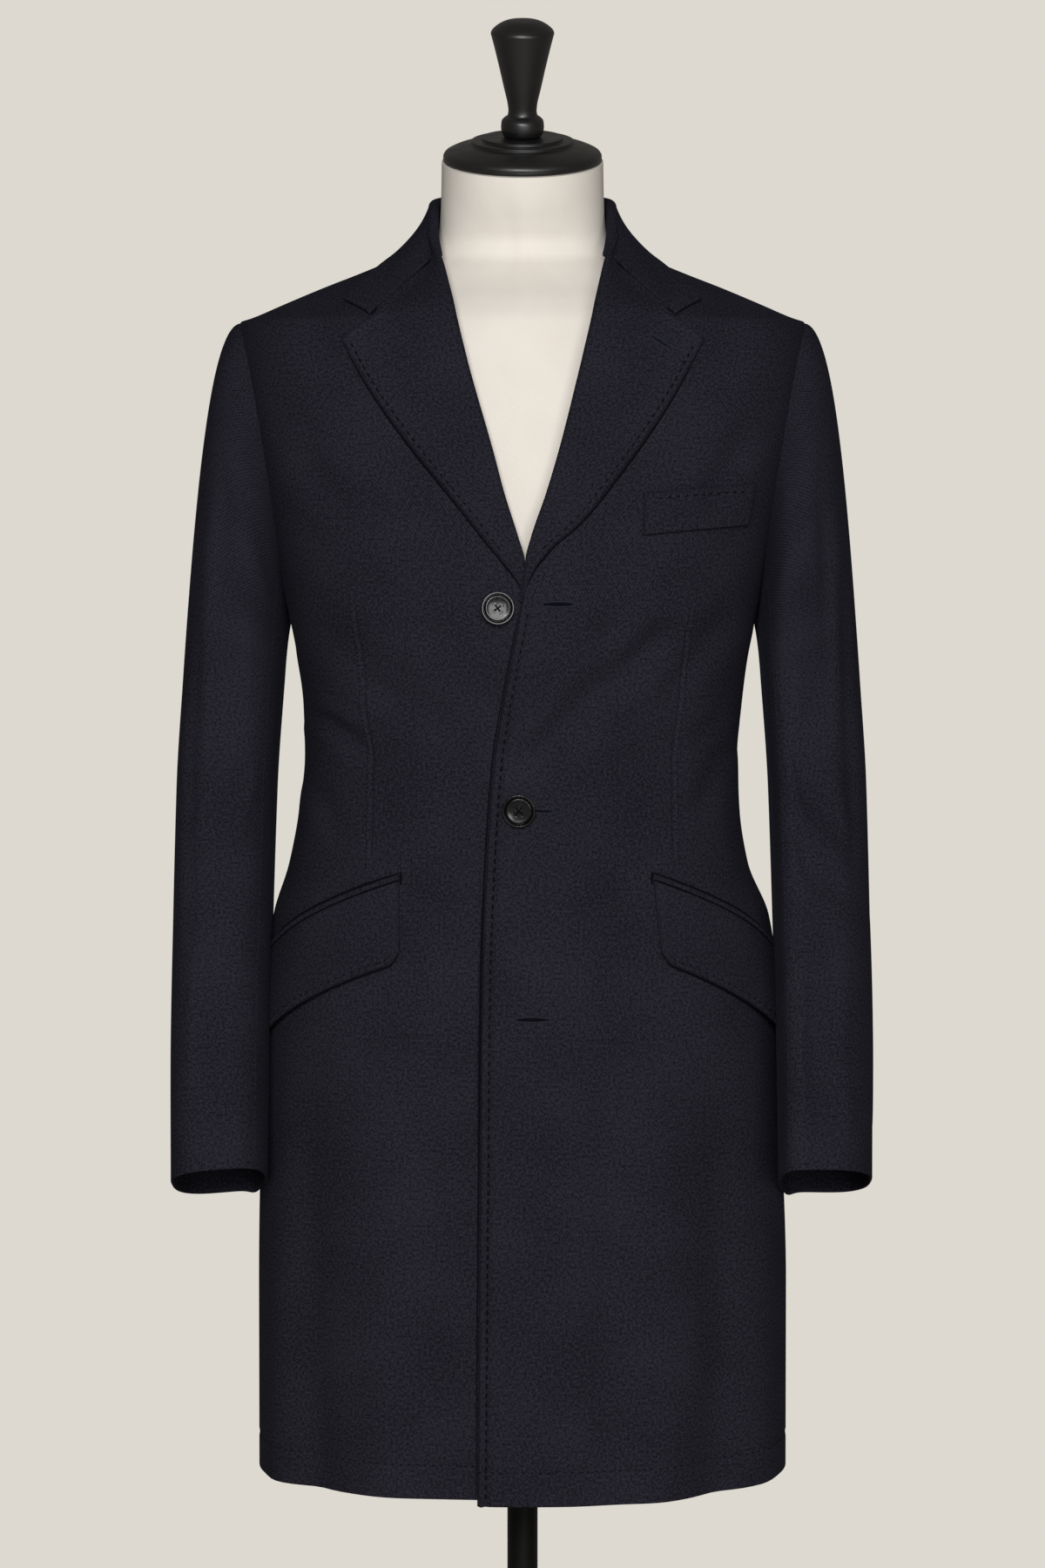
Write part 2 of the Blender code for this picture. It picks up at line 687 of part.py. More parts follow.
def collar_points() -> list[list[Vector]]:
    """The middle of the collar's wall: a row for each section, from one notch to the other."""
    at = {
        name: Smooth(list(range(len(COLLAR))), [getattr(row, name) for row in COLLAR])
        for name in CollarRow._fields
    }
    half = DOUBLE / 2
    last = len(COLLAR) - 1

    def ends(along: float) -> tuple[Vector, Vector, Vector]:
        fold = Vector((at["fold_x"](along), at["fold_y"](along), at["fold_z"](along)))
        foot = Vector((at["foot_x"](along), at["foot_y"](along), at["foot_z"](along)))
        turn = math.radians(at["edge_turn"](along))
        edge, _ = coat.off(turn, at["edge_height"](along), COLLAR_LAY + half)
        return fold, foot, edge

    fold_end, _, point_end = ends(0.0)
    notch, _ = coat.off(coat.turn_at_x(NOTCH.across, NOTCH.height), NOTCH.height, COLLAR_LAY + half)
    rows = []
    for step in shares(COLLAR_STEPS):
        along = last * step**COLLAR_CROWD
        fold, foot, edge = ends(along)
        flat = Vector((edge.x - fold.x, edge.y - fold.y, 0.0)).normalized()
        drop = Vector((0.0, 0.0, min(FOLD_DROP, STAND_FOLD * (fold.z - foot.z))))
        inside = fold - flat * FOLD_HALF - drop
        outside = fold + flat * FOLD_HALF - drop
        row = [foot, foot.lerp(inside, 0.5), inside, fold, outside]
        near = (1.0 - min(along / NOTCH_REACH, 1.0)) ** 2
        for share in FALL_SHARES:
            point = outside.lerp(edge, share)
            point += flat * FALL_BULGE * 4 * share * (1 - share) * (1 - near)
            straight = fold_end.lerp(point_end, share)
            bent = fold_end.lerp(notch, share / NOTCH_SHARE)
            if share > NOTCH_SHARE:
                bent = notch.lerp(point_end, (share - NOTCH_SHARE) / (1 - NOTCH_SHARE))
            point += (bent - straight) * near
            row.append(coat.clear(point, COLLAR_LAY + half))
        rows.append(row)
    mirrored = [[Vector((-p.x, p.y, p.z)) for p in row] for row in rows[:-1]]
    return mirrored + rows[::-1]


def build_collar() -> None:
    """The collar, one folded wall round the neck."""
    middle = np.array([[tuple(p) for p in row] for row in collar_points()])
    along = np.gradient(middle, axis=0)
    across = np.gradient(middle, axis=1)
    normal = np.cross(along, across)
    normal /= np.linalg.norm(normal, axis=2, keepdims=True)
    outer = middle + normal * (DOUBLE / 2)
    inner = middle - normal * (DOUBLE / 2)
    grids = [[[Vector(p) for p in row] for row in grid] for grid in (outer, inner)]
    wall("collar", grids[0], grids[1], BODY)


def armhole_point(angle: float) -> Vector:
    """A point of the armhole seam: angle 0 on the shoulder, a quarter turn in front."""
    share = (1 + math.cos(angle)) / 2
    height = mix(ARMPIT, SHOULDER, share)
    face = -1 if math.sin(angle) >= 0 else 1
    turn = coat.turn_at_y(seam_y(height, face), height)
    return coat.point(turn, height) + Vector((ARMHOLE_SEAM, 0.0, 0.0))


def arm_point(angle: float, height: float) -> Vector:
    """A point of the sleeve below the armpit."""
    size = {name: curve(-height) for name, curve in arm.items()}
    power = 2 / SLEEVE_SQUARE
    across = size["half_width"] * signed_power(math.cos(angle), power)
    deep = -size["half_depth"] * signed_power(math.sin(angle), power)
    fall = math.tan(math.radians(size["tilt"])) * deep
    lean = SLEEVE_LEAN * across * (SLEEVE[0].height - height) / (SLEEVE[0].height - SLEEVE[-1].height)
    return Vector((size["centre_x"] + across, size["centre_y"] + deep, height - fall - lean))


def sleeve_point(angle: float, along: float) -> Vector:
    """A point of the sleeve: along runs from 0 at the armhole to 1 at the biceps and 2 at the cuff."""
    top = SLEEVE[0].height
    if along >= 1.0:
        return arm_point(angle, mix(top, SLEEVE[-1].height, along - 1.0))
    start = armhole_point(angle)
    end = arm_point(angle, top)
    upward = (end - arm_point(angle, top - BICEPS_SLOPE)).normalized()
    outer = (1 + math.cos(angle)) / 2
    radial = Vector((0.0, -math.sin(angle), math.cos(angle)))
    first = start + Vector((CAP_OUT * outer, 0.0, -CAP_DROOP * outer)) + radial * CAP_DOWN * (1 - outer)
    second = end + upward * (0.5 * (start.z - end.z))
    t = along
    return (
        start * (1 - t) ** 3
        + first * 3 * t * (1 - t) ** 2
        + second * 3 * t * t * (1 - t)
        + end * t**3
    )


def build_sleeve(side: str) -> None:
    """The two pieces of a sleeve, joined by a front and a back seam."""
    rows = list(CAP_SHARES) + list(np.linspace(1.0, 2.0, ARM_ROWS + 1))
    gap = SEAM / 2 / SLEEVE[-1].half_depth
    front = math.radians(FRONT_ARM_SEAM)
    back = math.radians(BACK_ARM_SEAM)
    spans = {
        "top": (back + gap, front - gap, TOP_COLUMNS),
        "under": (front + gap, back + 2 * math.pi - gap, UNDER_COLUMNS),
    }

    def place(along: float, angle: float) -> tuple[Vector, Vector]:
        step = 0.02
        move = 0.004
        low = max(along - move, 0.0)
        high = min(along + move, 2.0)
        down = sleeve_point(angle, high) - sleeve_point(angle, low)
        round_it = sleeve_point(angle + step, along) - sleeve_point(angle - step, along)
        return sleeve_point(angle, along), round_it.cross(down).normalized()

    for piece, (start, end, count) in spans.items():
        columns = [mix(start, end, share) for share in shares(count)]
        cloth(f"sleeve_{piece}_{side}", rows, columns, place, CLOTH, BODY, side == "right")


def build_pocket(side: str) -> None:
    """A slanted hip pocket: its jet and the flap below it."""
    left = side == "left"
    surface = coat if left else coat_right
    end = math.radians(FLAP_BACK_TURN)

    def top(share: float) -> float:
        return mix(FLAP_TOP_FRONT, FLAP_TOP_BACK, share)

    def turn_at(share: float, height: float) -> float:
        return mix(surface.turn_at_x(FLAP_FRONT_X, height), end, share)

    def flap(down: float, share: float) -> tuple[Vector, Vector]:
        deep = mix(FLAP_DEEP_FRONT, FLAP_DEEP_BACK, share)
        if share < FLAP_CORNER:
            deep *= 1 - FLAP_ROUND * (1 - share / FLAP_CORNER) ** 2
        height = top(share) - deep * down
        out = LAY + FLAP + FLAP_FLARE * down
        return surface.off(turn_at(share, height), height, out)

    def jet(up: float, share: float) -> tuple[Vector, Vector]:
        height = top(share) + JET_GAP + JET_HIGH * up
        return surface.off(turn_at(share, height), height, LAY + JET)

    along = [0.0, FLAP_CORNER / 3] + [mix(FLAP_CORNER, 1.0, share) for share in shares(FLAP_COLUMNS)]
    cloth(f"flap_{side}", shares(FLAP_ROWS), along, flap, FLAP, TRIM, not left)
    cloth(f"jet_{side}", shares(1), along, jet, JET, TRIM, not left)


def build_welt() -> None:
    """The breast pocket's welt, on the left front."""
    low_in, low_out, high_in, high_out = (Vector(corner) for corner in WELT_CORNERS)

    def place(up: float, share: float) -> tuple[Vector, Vector]:
        x, height = low_in.lerp(low_out, share).lerp(high_in.lerp(high_out, share), up)
        return coat.off(coat.turn_at_x(x, height), height, LAY + FLAP)

    cloth("breast_welt", shares(WELT_ROWS), shares(WELT_COLUMNS), place, FLAP, TRIM)


def turned(name: str, profile: tuple, finish: tuple, sides: int, matrix: Matrix) -> None:
    """Spins a profile of radii and heights into a solid and sets it in place."""
    bm = bmesh.new()
    points = [bm.verts.new((radius, 0.0, height)) for radius, height in profile]
    edges = [bm.edges.new(pair) for pair in zip(points, points[1:])]
    bmesh.ops.spin(
        bm, geom=points + edges, axis=(0, 0, 1), angle=2 * math.pi, steps=sides, use_merge=True
    )
    bmesh.ops.remove_doubles(bm, verts=bm.verts, dist=MERGE)
    bmesh.ops.recalc_face_normals(bm, faces=bm.faces)
    mesh = bpy.data.meshes.new(name)
    bm.to_mesh(mesh)
    bm.free()
    add_object(name, mesh, finish).matrix_world = matrix


def build_button(name: str, point: Vector, normal: Vector) -> None:
    """A round button with a raised rim, lying on a front."""
    profile = tuple((radius * BUTTON_RADIUS, high * BUTTON_THICK) for radius, high in BUTTON_PROFILE)
    spun = Vector((0, 0, 1)).rotation_difference(normal).to_matrix().to_4x4()
    turned(name, profile, HORN, SMALL_SIDES, Matrix.Translation(point + normal * BUTTON_OFF) @ spun)


def build_buttons() -> None:
    """The top and hidden buttons on the right front, and the fastened one on the left."""
    for name, (across, height) in (("button_top", BUTTON_TOP), ("button_bottom", BUTTON_BOTTOM)):
        point, normal = coat_right.off(coat_right.turn_at_x(across, height), height, 0.0)
        build_button(name, Vector((-point.x, point.y, point.z)), Vector((-normal.x, normal.y, normal.z)))
    across, height = BUTTON_MIDDLE
    turn = coat.turn_at_x(across, height)
    build_button("button_middle", *coat.off(turn, height, lift(across, height)))


def build_form() -> None:
    """The padded torso with its neck, as rings joined up its height."""
    figure = Tube(FORM)
    heights = [row.height for row in FORM]
    levels = []
    for low, high in zip(heights, heights[1:]):
        count = 2 if high - low > FORM_TALL else 1
        levels += [mix(low, high, i / count) for i in range(count)]
    levels.append(heights[-1])
    tilt = math.radians(NECK_TILT)
    bm = bmesh.new()
    rings = []
    for height in levels:
        ring = []
        lean = math.tan(tilt) * ease(height, NECK_TILT_FROM, heights[-1])
        for i in range(FORM_SIDES):
            point = figure.point(2 * math.pi * (i + 0.5) / FORM_SIDES, height)
            point.z += lean * (point.y - figure.at("ridge", height))
            ring.append(bm.verts.new(point))
        rings.append(ring)
    for low, high in zip(rings, rings[1:]):
        for i in range(FORM_SIDES):
            j = (i + 1) % FORM_SIDES
            bm.faces.new((low[i], low[j], high[j], high[i]))
    bm.faces.new(rings[0])
    bm.faces.new(rings[-1])
    bmesh.ops.recalc_face_normals(bm, faces=bm.faces)
    mesh = bpy.data.meshes.new("form_torso")
    bm.to_mesh(mesh)
    bm.free()
    add_object("form_torso", mesh, LINEN)


def build_stand() -> None:
    """The turned cap and finial on the neck, and the pole and base below."""
    neck = FORM[-1]
    tilt = Matrix.Rotation(math.radians(NECK_TILT), 4, "X")
    axis = Matrix.Translation((0.0, neck.ridge, neck.height)) @ tilt
    finial_foot = CAP_PROFILE[-1][1] + 2 * SEAM
    turned("neck_cap", CAP_PROFILE, LACQUER, CAP_SIDES, axis @ Matrix.Translation((0, 0, SEAM)))
    turned("finial", FINIAL_PROFILE, LACQUER, SMALL_SIDES, axis @ Matrix.Translation((0, 0, finial_foot)))
    base_top = BASE_PROFILE[-1][1]
    length = FORM[0].height - base_top - 2 * SEAM
    pole = ((0.0, 0.0), (POLE_RADIUS, 0.0), (POLE_RADIUS, length), (0.0, length))
    turned("pole", pole, PAINT, SMALL_SIDES, Matrix.Translation((0, 0, base_top + SEAM)))
    turned("base", BASE_PROFILE, PAINT, BASE_SIDES, Matrix.Identity(4))


def main() -> None:
    """Clears the scene and builds every piece."""
    for obj in list(bpy.data.objects):
        bpy.data.objects.remove(obj)
    for side in ("left", "right"):
        build_front(side)
        build_back(side)
        build_lapel(side)
        build_sleeve(side)
        build_pocket(side)
    build_collar()
    build_welt()
    build_buttons()
    build_form()
    build_stand()


main()
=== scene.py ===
"""The finished look of an overcoat on a dress form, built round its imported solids.

Metres, +Z up. The coat faces -Y and the wearer's left is +X. Every cloth piece is a thin
closed shell, drawn finely from the same tables as its solid. The right side is drawn as a
left one and then mirrored.
"""

import logging
import math
from collections.abc import Callable, Sequence
from dataclasses import dataclass
from enum import Enum
from functools import partial
from typing import NamedTuple

import bmesh
import bpy
import numpy as np
from bpy.types import ID, Material, Node, NodeSocket, NodeTree, Object
from mathutils import Matrix, Vector


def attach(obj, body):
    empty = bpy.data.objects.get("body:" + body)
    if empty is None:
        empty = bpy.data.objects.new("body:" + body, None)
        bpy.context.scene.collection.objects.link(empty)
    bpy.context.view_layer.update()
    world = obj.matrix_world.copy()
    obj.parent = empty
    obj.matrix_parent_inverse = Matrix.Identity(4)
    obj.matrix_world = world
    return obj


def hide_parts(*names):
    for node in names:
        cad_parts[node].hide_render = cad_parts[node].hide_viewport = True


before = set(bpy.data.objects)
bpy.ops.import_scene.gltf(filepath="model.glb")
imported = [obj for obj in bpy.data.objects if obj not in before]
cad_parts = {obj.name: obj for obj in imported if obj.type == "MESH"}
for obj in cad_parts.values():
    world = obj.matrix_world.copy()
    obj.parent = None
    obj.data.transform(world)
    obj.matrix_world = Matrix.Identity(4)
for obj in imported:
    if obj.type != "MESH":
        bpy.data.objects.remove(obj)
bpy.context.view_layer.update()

log = logging.getLogger("overcoat")

Array = np.ndarray
Number = float | Array
Spot = tuple[float, float]
Line = tuple[Spot, ...]
Place = Callable[[Array, Array, Number], Array]
Add = Callable[..., Node]
MM = 0.001

# Thicknesses and gaps.
CLOTH = 0.0020
DOUBLE = 0.0028
FLAP = 0.0022
JET = 0.0014
SEAM = 0.0003
LAY = 0.0008
COLLAR_LAY = 0.0018
EDGE_ROUND = 0.0011
SEAM_ROUND = 0.0004

# Heights of the coat's lines.
HEM = 0.559
ARMPIT = 1.225
SHOULDER = 1.434
NECK = 1.494
BREAK = 1.246
LAPEL_FOOT = 1.222
GORGE_TOP = 1.4870
FOLD_FROM = LAPEL_FOOT - 0.012  # the lapel folds back between these heights
FOLD_TO = BREAK + 0.010
SIDE_SEAM_Y = 0.012
HEM_DIP_REACH = 0.220
HEM_STITCH = 0.026  # up from the hem

# Stitches, seams and grids.
STITCH_IN = 0.0064
PIT_LONG = 0.0019  # half the length of the pit that a stitch pulls in
PIT_WIDE = 0.0017
BLUNT = 0.05  # how far into its taper a seam's thread starts
PROBE = 0.001  # a step off a surface, to find the way out of it
MERGE = 1e-7
SHARP = math.radians(40.0)  # a turned piece is shaded sharp where it bends more
LEAST_CUT = 0.010  # a strip's cut is stated no narrower than this
LEAST_FILL = 0.3  # and fills no less of the rectangle round it
EDGE_CROWD = (0.0, 0.00012, 0.0004, 0.0008, 0.0012)  # extra rows beside a rounded edge
ARMHOLE_ROWS = 45


class Side(Enum):
    """The wearer's left, drawn as it is, or right, drawn mirrored."""

    LEFT = "left"
    RIGHT = "right"

    @property
    def flip(self) -> float:
        """What x is multiplied by."""
        return 1.0 if self is Side.LEFT else -1.0


# How much lower each front's hem hangs in the middle.
HEM_DIP = {Side.LEFT: 0.0085, Side.RIGHT: 0.0040}


class Section(NamedTuple):
    """One level section: half its width, its depths from the ridge line, and its corners."""

    height: float
    half_width: float
    front: float
    back: float
    ridge: float
    square: float


COAT = (
    Section(0.559, 0.2025, 0.1320, 0.1340, 0.000, 2.40),
    Section(0.700, 0.2025, 0.1290, 0.1340, 0.000, 2.40),
    Section(0.820, 0.1985, 0.1250, 0.1330, 0.000, 2.40),
    Section(0.900, 0.1926, 0.1210, 0.1290, 0.000, 2.40),
    Section(0.950, 0.1888, 0.1180, 0.1240, 0.000, 2.40),
    Section(0.982, 0.1855, 0.1165, 0.1190, 0.000, 2.38),
    Section(1.022, 0.1744, 0.1140, 0.1100, 0.000, 2.36),
    Section(1.062, 0.1678, 0.1120, 0.1010, 0.000, 2.34),
    Section(1.105, 0.1650, 0.1125, 0.0960, 0.000, 2.32),
    Section(1.142, 0.1674, 0.1160, 0.0980, 0.000, 2.34),
    Section(1.182, 0.1724, 0.1230, 0.1050, 0.000, 2.38),
    Section(1.225, 0.1810, 0.1300, 0.1140, 0.000, 2.46),
    Section(1.260, 0.1870, 0.1310, 0.1190, 0.001, 2.52),
    Section(1.300, 0.1950, 0.1280, 0.1220, 0.003, 2.58),
    Section(1.340, 0.2030, 0.1220, 0.1210, 0.005, 2.60),
    Section(1.380, 0.2090, 0.1150, 0.1150, 0.008, 2.58),
    Section(1.410, 0.2130, 0.1088, 0.1060, 0.010, 2.46),
    Section(1.434, 0.2155, 0.1012, 0.0980, 0.012, 2.26),
    Section(1.4375, 0.2062, 0.0996, 0.0966, 0.0125, 2.22),
    Section(1.4485, 0.1812, 0.0905, 0.0920, 0.014, 2.12),
    Section(1.4605, 0.1532, 0.0790, 0.0850, 0.016, 2.02),
    Section(1.4725, 0.1230, 0.0660, 0.0760, 0.018, 2.00),
    Section(1.4840, 0.0960, 0.0560, 0.0670, 0.019, 2.00),
    Section(1.4940, 0.0770, 0.0470, 0.0580, 0.020, 2.00),
)

# How much wider (above 0) the coat hangs on each side than the mean of both, by height.
HIP_SWELL = {
    Side.LEFT: (
        (0.82, 0.0), (0.90, 0.0024), (0.95, 0.0046), (0.982, 0.0032),
        (1.022, -0.0018), (1.062, -0.0016), (1.142, 0.0),
    ),
    Side.RIGHT: (
        (0.70, 0.0), (0.82, 0.0020), (0.90, 0.0042), (0.95, 0.0056),
        (0.982, 0.0052), (1.062, 0.0032), (1.142, 0.0),
    ),
}


class Fold(NamedTuple):
    """One soft fold of the skirt: turn and width in degrees, depth out of the surface."""

    turn: float
    lean: float
    width: float
    depth: float
    top: float


FOLDS = (
    Fold(-64.0, 10.0, 8.0, 0.0060, 0.96),
    Fold(-47.0, 6.0, 6.0, -0.0055, 0.92),
    Fold(-30.0, -4.0, 9.0, 0.0040, 0.90),
    Fold(-116.0, -6.0, 9.0, 0.0048, 0.92),
    Fold(-137.0, -8.0, 6.0, -0.0055, 0.96),
    Fold(-152.0, 4.0, 8.0, 0.0050, 0.92),
    Fold(34.0, 6.0, 9.0, 0.0045, 0.92),
    Fold(58.0, -5.0, 8.0, -0.0050, 0.96),
    Fold(124.0, 6.0, 9.0, -0.0050, 0.95),
    Fold(148.0, -6.0, 9.0, 0.0045, 0.90),
)
FOLD_FULL = 0.060  # a fold has its full depth this far up from the hem

# Lines on a front, seen from the front: heights, each with the distance from the centre.
EDGE = {
    Side.LEFT: (
        (0.559, -0.0340), (0.773, -0.0322), (0.950, -0.0302), (1.018, -0.0277),
        (1.103, -0.0219), (1.167, -0.0116), (1.223, -0.0012), (1.246, 0.0018),
    ),
    Side.RIGHT: (
        (0.559, -0.0150), (0.914, -0.0180), (1.067, -0.0195), (1.140, -0.0120),
        (1.218, -0.0050), (1.246, -0.0030),
    ),
}
ROLL = {
    Side.LEFT: (
        (1.2460, 0.0018), (1.2540, 0.0022), (1.2695, 0.0062), (1.3015, 0.0172),
        (1.3314, 0.0262), (1.3940, 0.0420), (1.4537, 0.0560), (1.4940, 0.0648),
    ),
    Side.RIGHT: (
        (1.2460, -0.0030), (1.2550, -0.0014), (1.2695, 0.0030), (1.3015, 0.0132),
        (1.3314, 0.0212), (1.3940, 0.0390), (1.4537, 0.0538), (1.4940, 0.0642),
    ),
}
LAPEL_EDGE = {
    Side.LEFT: (
        (1.2220, -0.0006), (1.2330, 0.0028), (1.2460, 0.0088), (1.2571, 0.0174),
        (1.2777, 0.0413), (1.3152, 0.0719), (1.3700, 0.1100), (1.4165, 0.1360),
    ),
    Side.RIGHT: (
        (1.2220, -0.0022), (1.2359, 0.0032), (1.2612, 0.0240), (1.2891, 0.0455),
        (1.3390, 0.0855), (1.3829, 0.1165), (1.4165, 0.1355),
    ),
}
GORGE_TIP = 1.4165
GORGE_BEND = 1.4328
GORGE = ((GORGE_TIP, 0.1360), (GORGE_BEND, 0.1130), (1.4754, 0.0640))
# The same, with how far the lapel stands off the chest.
LAPEL_STAND = (
    (1.2460, 0.0015), (1.3015, 0.0040), (1.3940, 0.0060), (1.4537, 0.0090),
    (1.4790, 0.0130),
)
LAPEL_SETTLE = 1.6
ROLL_HALF = 0.0045  # the rolled fold is at most this deep, seen from the front
# The line of the waist dart, carried on to hem and shoulder as a guide for the grid.
DART = (
    (0.559, 0.1180), (1.015, 0.1135), (1.102, 0.1126), (1.153, 0.1183),
    (1.225, 0.1255), (1.300, 0.1350), (1.400, 0.1450), (1.434, 0.1350),
    (1.4605, 0.1050), (1.494, 0.0725),
)
DART_FOOT = 1.020
DART_HEAD = 1.232
# How far the left front lies out over the right one, more so over the hidden button.
LIFT = 0.0042
LIFT_BUTTON = 0.0042
LIFT_BUTTON_NEAR = 0.030
LIFT_BUTTON_FAR = 0.120
LIFT_FULL_X = 0.032
LIFT_NONE_X = 0.084
LIFT_FULL_Z = 1.247
LIFT_NONE_Z = 1.300
# Across and height, as drawn for the front that the button is sewn on.
BUTTON_TOP = (0.0187, 1.2179)
BUTTON_BOTTOM = (0.0040, 0.9137)
BUTTON_MIDDLE = (-0.0026, 1.0674)
CREASE_SET = 2.0  # how strongly the creases are set into the cloth
CREASE_LIP = 0.4  # the soft ridge on both sides of a crease, as a share of its depth
CREASE_LIP_OFF = 1.8
CREASE_LIP_WIDE = 0.9


class Crease(NamedTuple):
    """A soft trough (depth below 0) or ridge along a line of places on a panel."""

    line: Line
    width: float
    depth: float


# Across from the centre and height, as drawn for each side.
FRONT_CREASES = {
    Side.LEFT: (
        Crease(((-0.004, 1.094), (0.036, 1.132), (0.075, 1.171), (0.122, 1.207)), 0.0115, -0.0032),
        Crease(((0.008, 1.104), (0.032, 1.142), (0.058, 1.184), (0.076, 1.222)), 0.0100, -0.0013),
        Crease(((0.022, 1.100), (0.055, 1.126), (0.090, 1.146)), 0.0100, -0.0009),
        Crease(((0.160, 1.218), (0.134, 1.188), (0.104, 1.150)), 0.0110, -0.0014),
        Crease(((0.150, 1.112), (0.142, 1.086), (0.132, 1.060)), 0.0085, -0.0012),
        Crease(((0.150, 1.140), (0.142, 1.128), (0.128, 1.118)), 0.0070, -0.0009),
        Crease(((0.030, 1.040), (0.070, 1.018), (0.088, 0.994)), 0.0140, -0.0010),
        Crease(((0.060, 0.880), (0.066, 0.740), (0.062, 0.575)), 0.0120, -0.0014),
        Crease(((0.172, 1.352), (0.150, 1.318), (0.136, 1.288)), 0.0100, -0.0012),
    ),
    # The first lies under the left front, along that one's own first crease.
    Side.RIGHT: (
        Crease(((0.004, 1.094), (-0.036, 1.132), (-0.075, 1.171), (-0.122, 1.207)), 0.0115, -0.0032),
        Crease(((0.163, 1.138), (0.143, 1.130), (0.122, 1.117)), 0.0065, -0.0016),
        Crease(((0.124, 1.166), (0.104, 1.152), (0.086, 1.143)), 0.0080, -0.0010),
        Crease(((0.150, 1.126), (0.130, 1.118), (0.108, 1.104)), 0.0080, -0.0011),
        Crease(((0.158, 1.206), (0.118, 1.176), (0.078, 1.146), (0.030, 1.094)), 0.0140, -0.0013),
        Crease(((0.160, 1.090), (0.146, 1.066), (0.134, 1.040)), 0.0080, -0.0010),
        Crease(((0.046, 1.050), (0.074, 1.026), (0.090, 1.000)), 0.0130, -0.0009),
        Crease(((0.074, 0.860), (0.070, 0.720), (0.076, 0.590)), 0.0140, -0.0012),
        Crease(((0.170, 1.340), (0.150, 1.310), (0.128, 1.286)), 0.0110, -0.0012),
    ),
}
BACK_CREASES = {
    Side.LEFT: (
        Crease(((0.160, 1.130), (0.110, 1.112), (0.050, 1.108)), 0.0090, -0.0016),
        Crease(((0.158, 1.096), (0.118, 1.084), (0.076, 1.088)), 0.0080, -0.0013),
        Crease(((0.176, 1.260), (0.130, 1.212), (0.084, 1.180)), 0.0120, -0.0018),
        Crease(((0.060, 0.900), (0.064, 0.740), (0.058, 0.580)), 0.0130, -0.0016),
        Crease(((0.150, 1.360), (0.128, 1.300), (0.120, 1.250)), 0.0120, -0.0014),
    ),
    Side.RIGHT: (
        Crease(((0.162, 1.140), (0.120, 1.120), (0.064, 1.118)), 0.0080, -0.0014),
        Crease(((0.156, 1.088), (0.104, 1.080), (0.052, 1.090)), 0.0090, -0.0016),
        Crease(((0.174, 1.250), (0.134, 1.214), (0.070, 1.170)), 0.0110, -0.0016),
        Crease(((0.078, 0.880), (0.074, 0.720), (0.080, 0.590)), 0.0120, -0.0014),
        Crease(((0.146, 1.366), (0.126, 1.310), (0.110, 1.240)), 0.0130, -0.0015),
    ),
}
# Round the sleeve from its outer line, front positive, and height.
SLEEVE_CREASES = {
    Side.LEFT: (
        Crease(((0.066, 1.300), (0.080, 1.200), (0.088, 1.120)), 0.0090, -0.0016),
        Crease(((0.052, 1.250), (0.062, 1.140), (0.060, 1.020)), 0.0100, -0.0013),
        Crease(((0.112, 1.120), (0.094, 1.070), (0.074, 1.040)), 0.0080, -0.0018),
        Crease(((0.112, 1.056), (0.096, 1.020), (0.076, 1.000)), 0.0080, -0.0016),
        Crease(((0.092, 0.960), (0.098, 0.890), (0.088, 0.820)), 0.0090, -0.0014),
        Crease(((-0.040, 1.240), (-0.050, 1.140), (-0.046, 1.050)), 0.0110, -0.0016),
        Crease(((-0.070, 1.080), (-0.052, 1.040), (-0.030, 1.020)), 0.0090, -0.0014),
        Crease(((-0.010, 0.980), (-0.006, 0.900), (-0.012, 0.830)), 0.0120, -0.0010),
    ),
    Side.RIGHT: (
        Crease(((0.070, 1.310), (0.082, 1.220), (0.092, 1.140)), 0.0090, -0.0014),
        Crease(((0.058, 1.200), (0.060, 1.100), (0.066, 0.960)), 0.0110, -0.0010),
        Crease(((0.112, 1.100), (0.092, 1.060), (0.072, 1.036)), 0.0080, -0.0014),
        Crease(((0.098, 0.990), (0.086, 0.930), (0.082, 0.860)), 0.0090, -0.0012),
        Crease(((-0.036, 1.260), (-0.048, 1.160), (-0.040, 1.060)), 0.0110, -0.0016),
        Crease(((-0.074, 1.070), (-0.050, 1.034), (-0.026, 1.016)), 0.0090, -0.0014),
    ),
}


class ArmSection(NamedTuple):
    """A section across the sleeve: its centre, half sizes, and its tilt in degrees."""

    height: float
    centre_x: float
    centre_y: float
    half_width: float
    half_depth: float
    tilt: float


SLEEVE = (
    ArmSection(1.170, 0.2200, 0.0020, 0.0378, 0.0790, 0.0),
    ArmSection(1.080, 0.2255, -0.0080, 0.0375, 0.0700, 4.0),
    ArmSection(0.980, 0.2274, -0.0300, 0.0370, 0.0640, 11.0),
    ArmSection(0.880, 0.2286, -0.0540, 0.0364, 0.0590, 15.0),
    ArmSection(0.786, 0.2280, -0.0770, 0.0356, 0.0550, 16.0),
)
# How square the section is on its inner and its outer side.
SLEEVE_SQUARE = {Side.LEFT: (4.0, 2.7), Side.RIGHT: (3.0, 2.9)}
# How far the section's inner side is set forward.
SLEEVE_TWIST = {Side.LEFT: 0.42, Side.RIGHT: -0.12}
SLEEVE_LEAN = 0.07
SLEEVE_GIRTH = 0.058  # mean radius, which turns an angle into a distance round the arm
ARMHOLE_FRONT = 0.050
ARMHOLE_BACK = 0.072
ARMHOLE_EGG = 0.25
CAP_OUT = 0.024
CAP_DOWN = 0.018
BICEPS_SLOPE = 0.040
FRONT_ARM_SEAM = 136.0
BACK_ARM_SEAM = -124.0


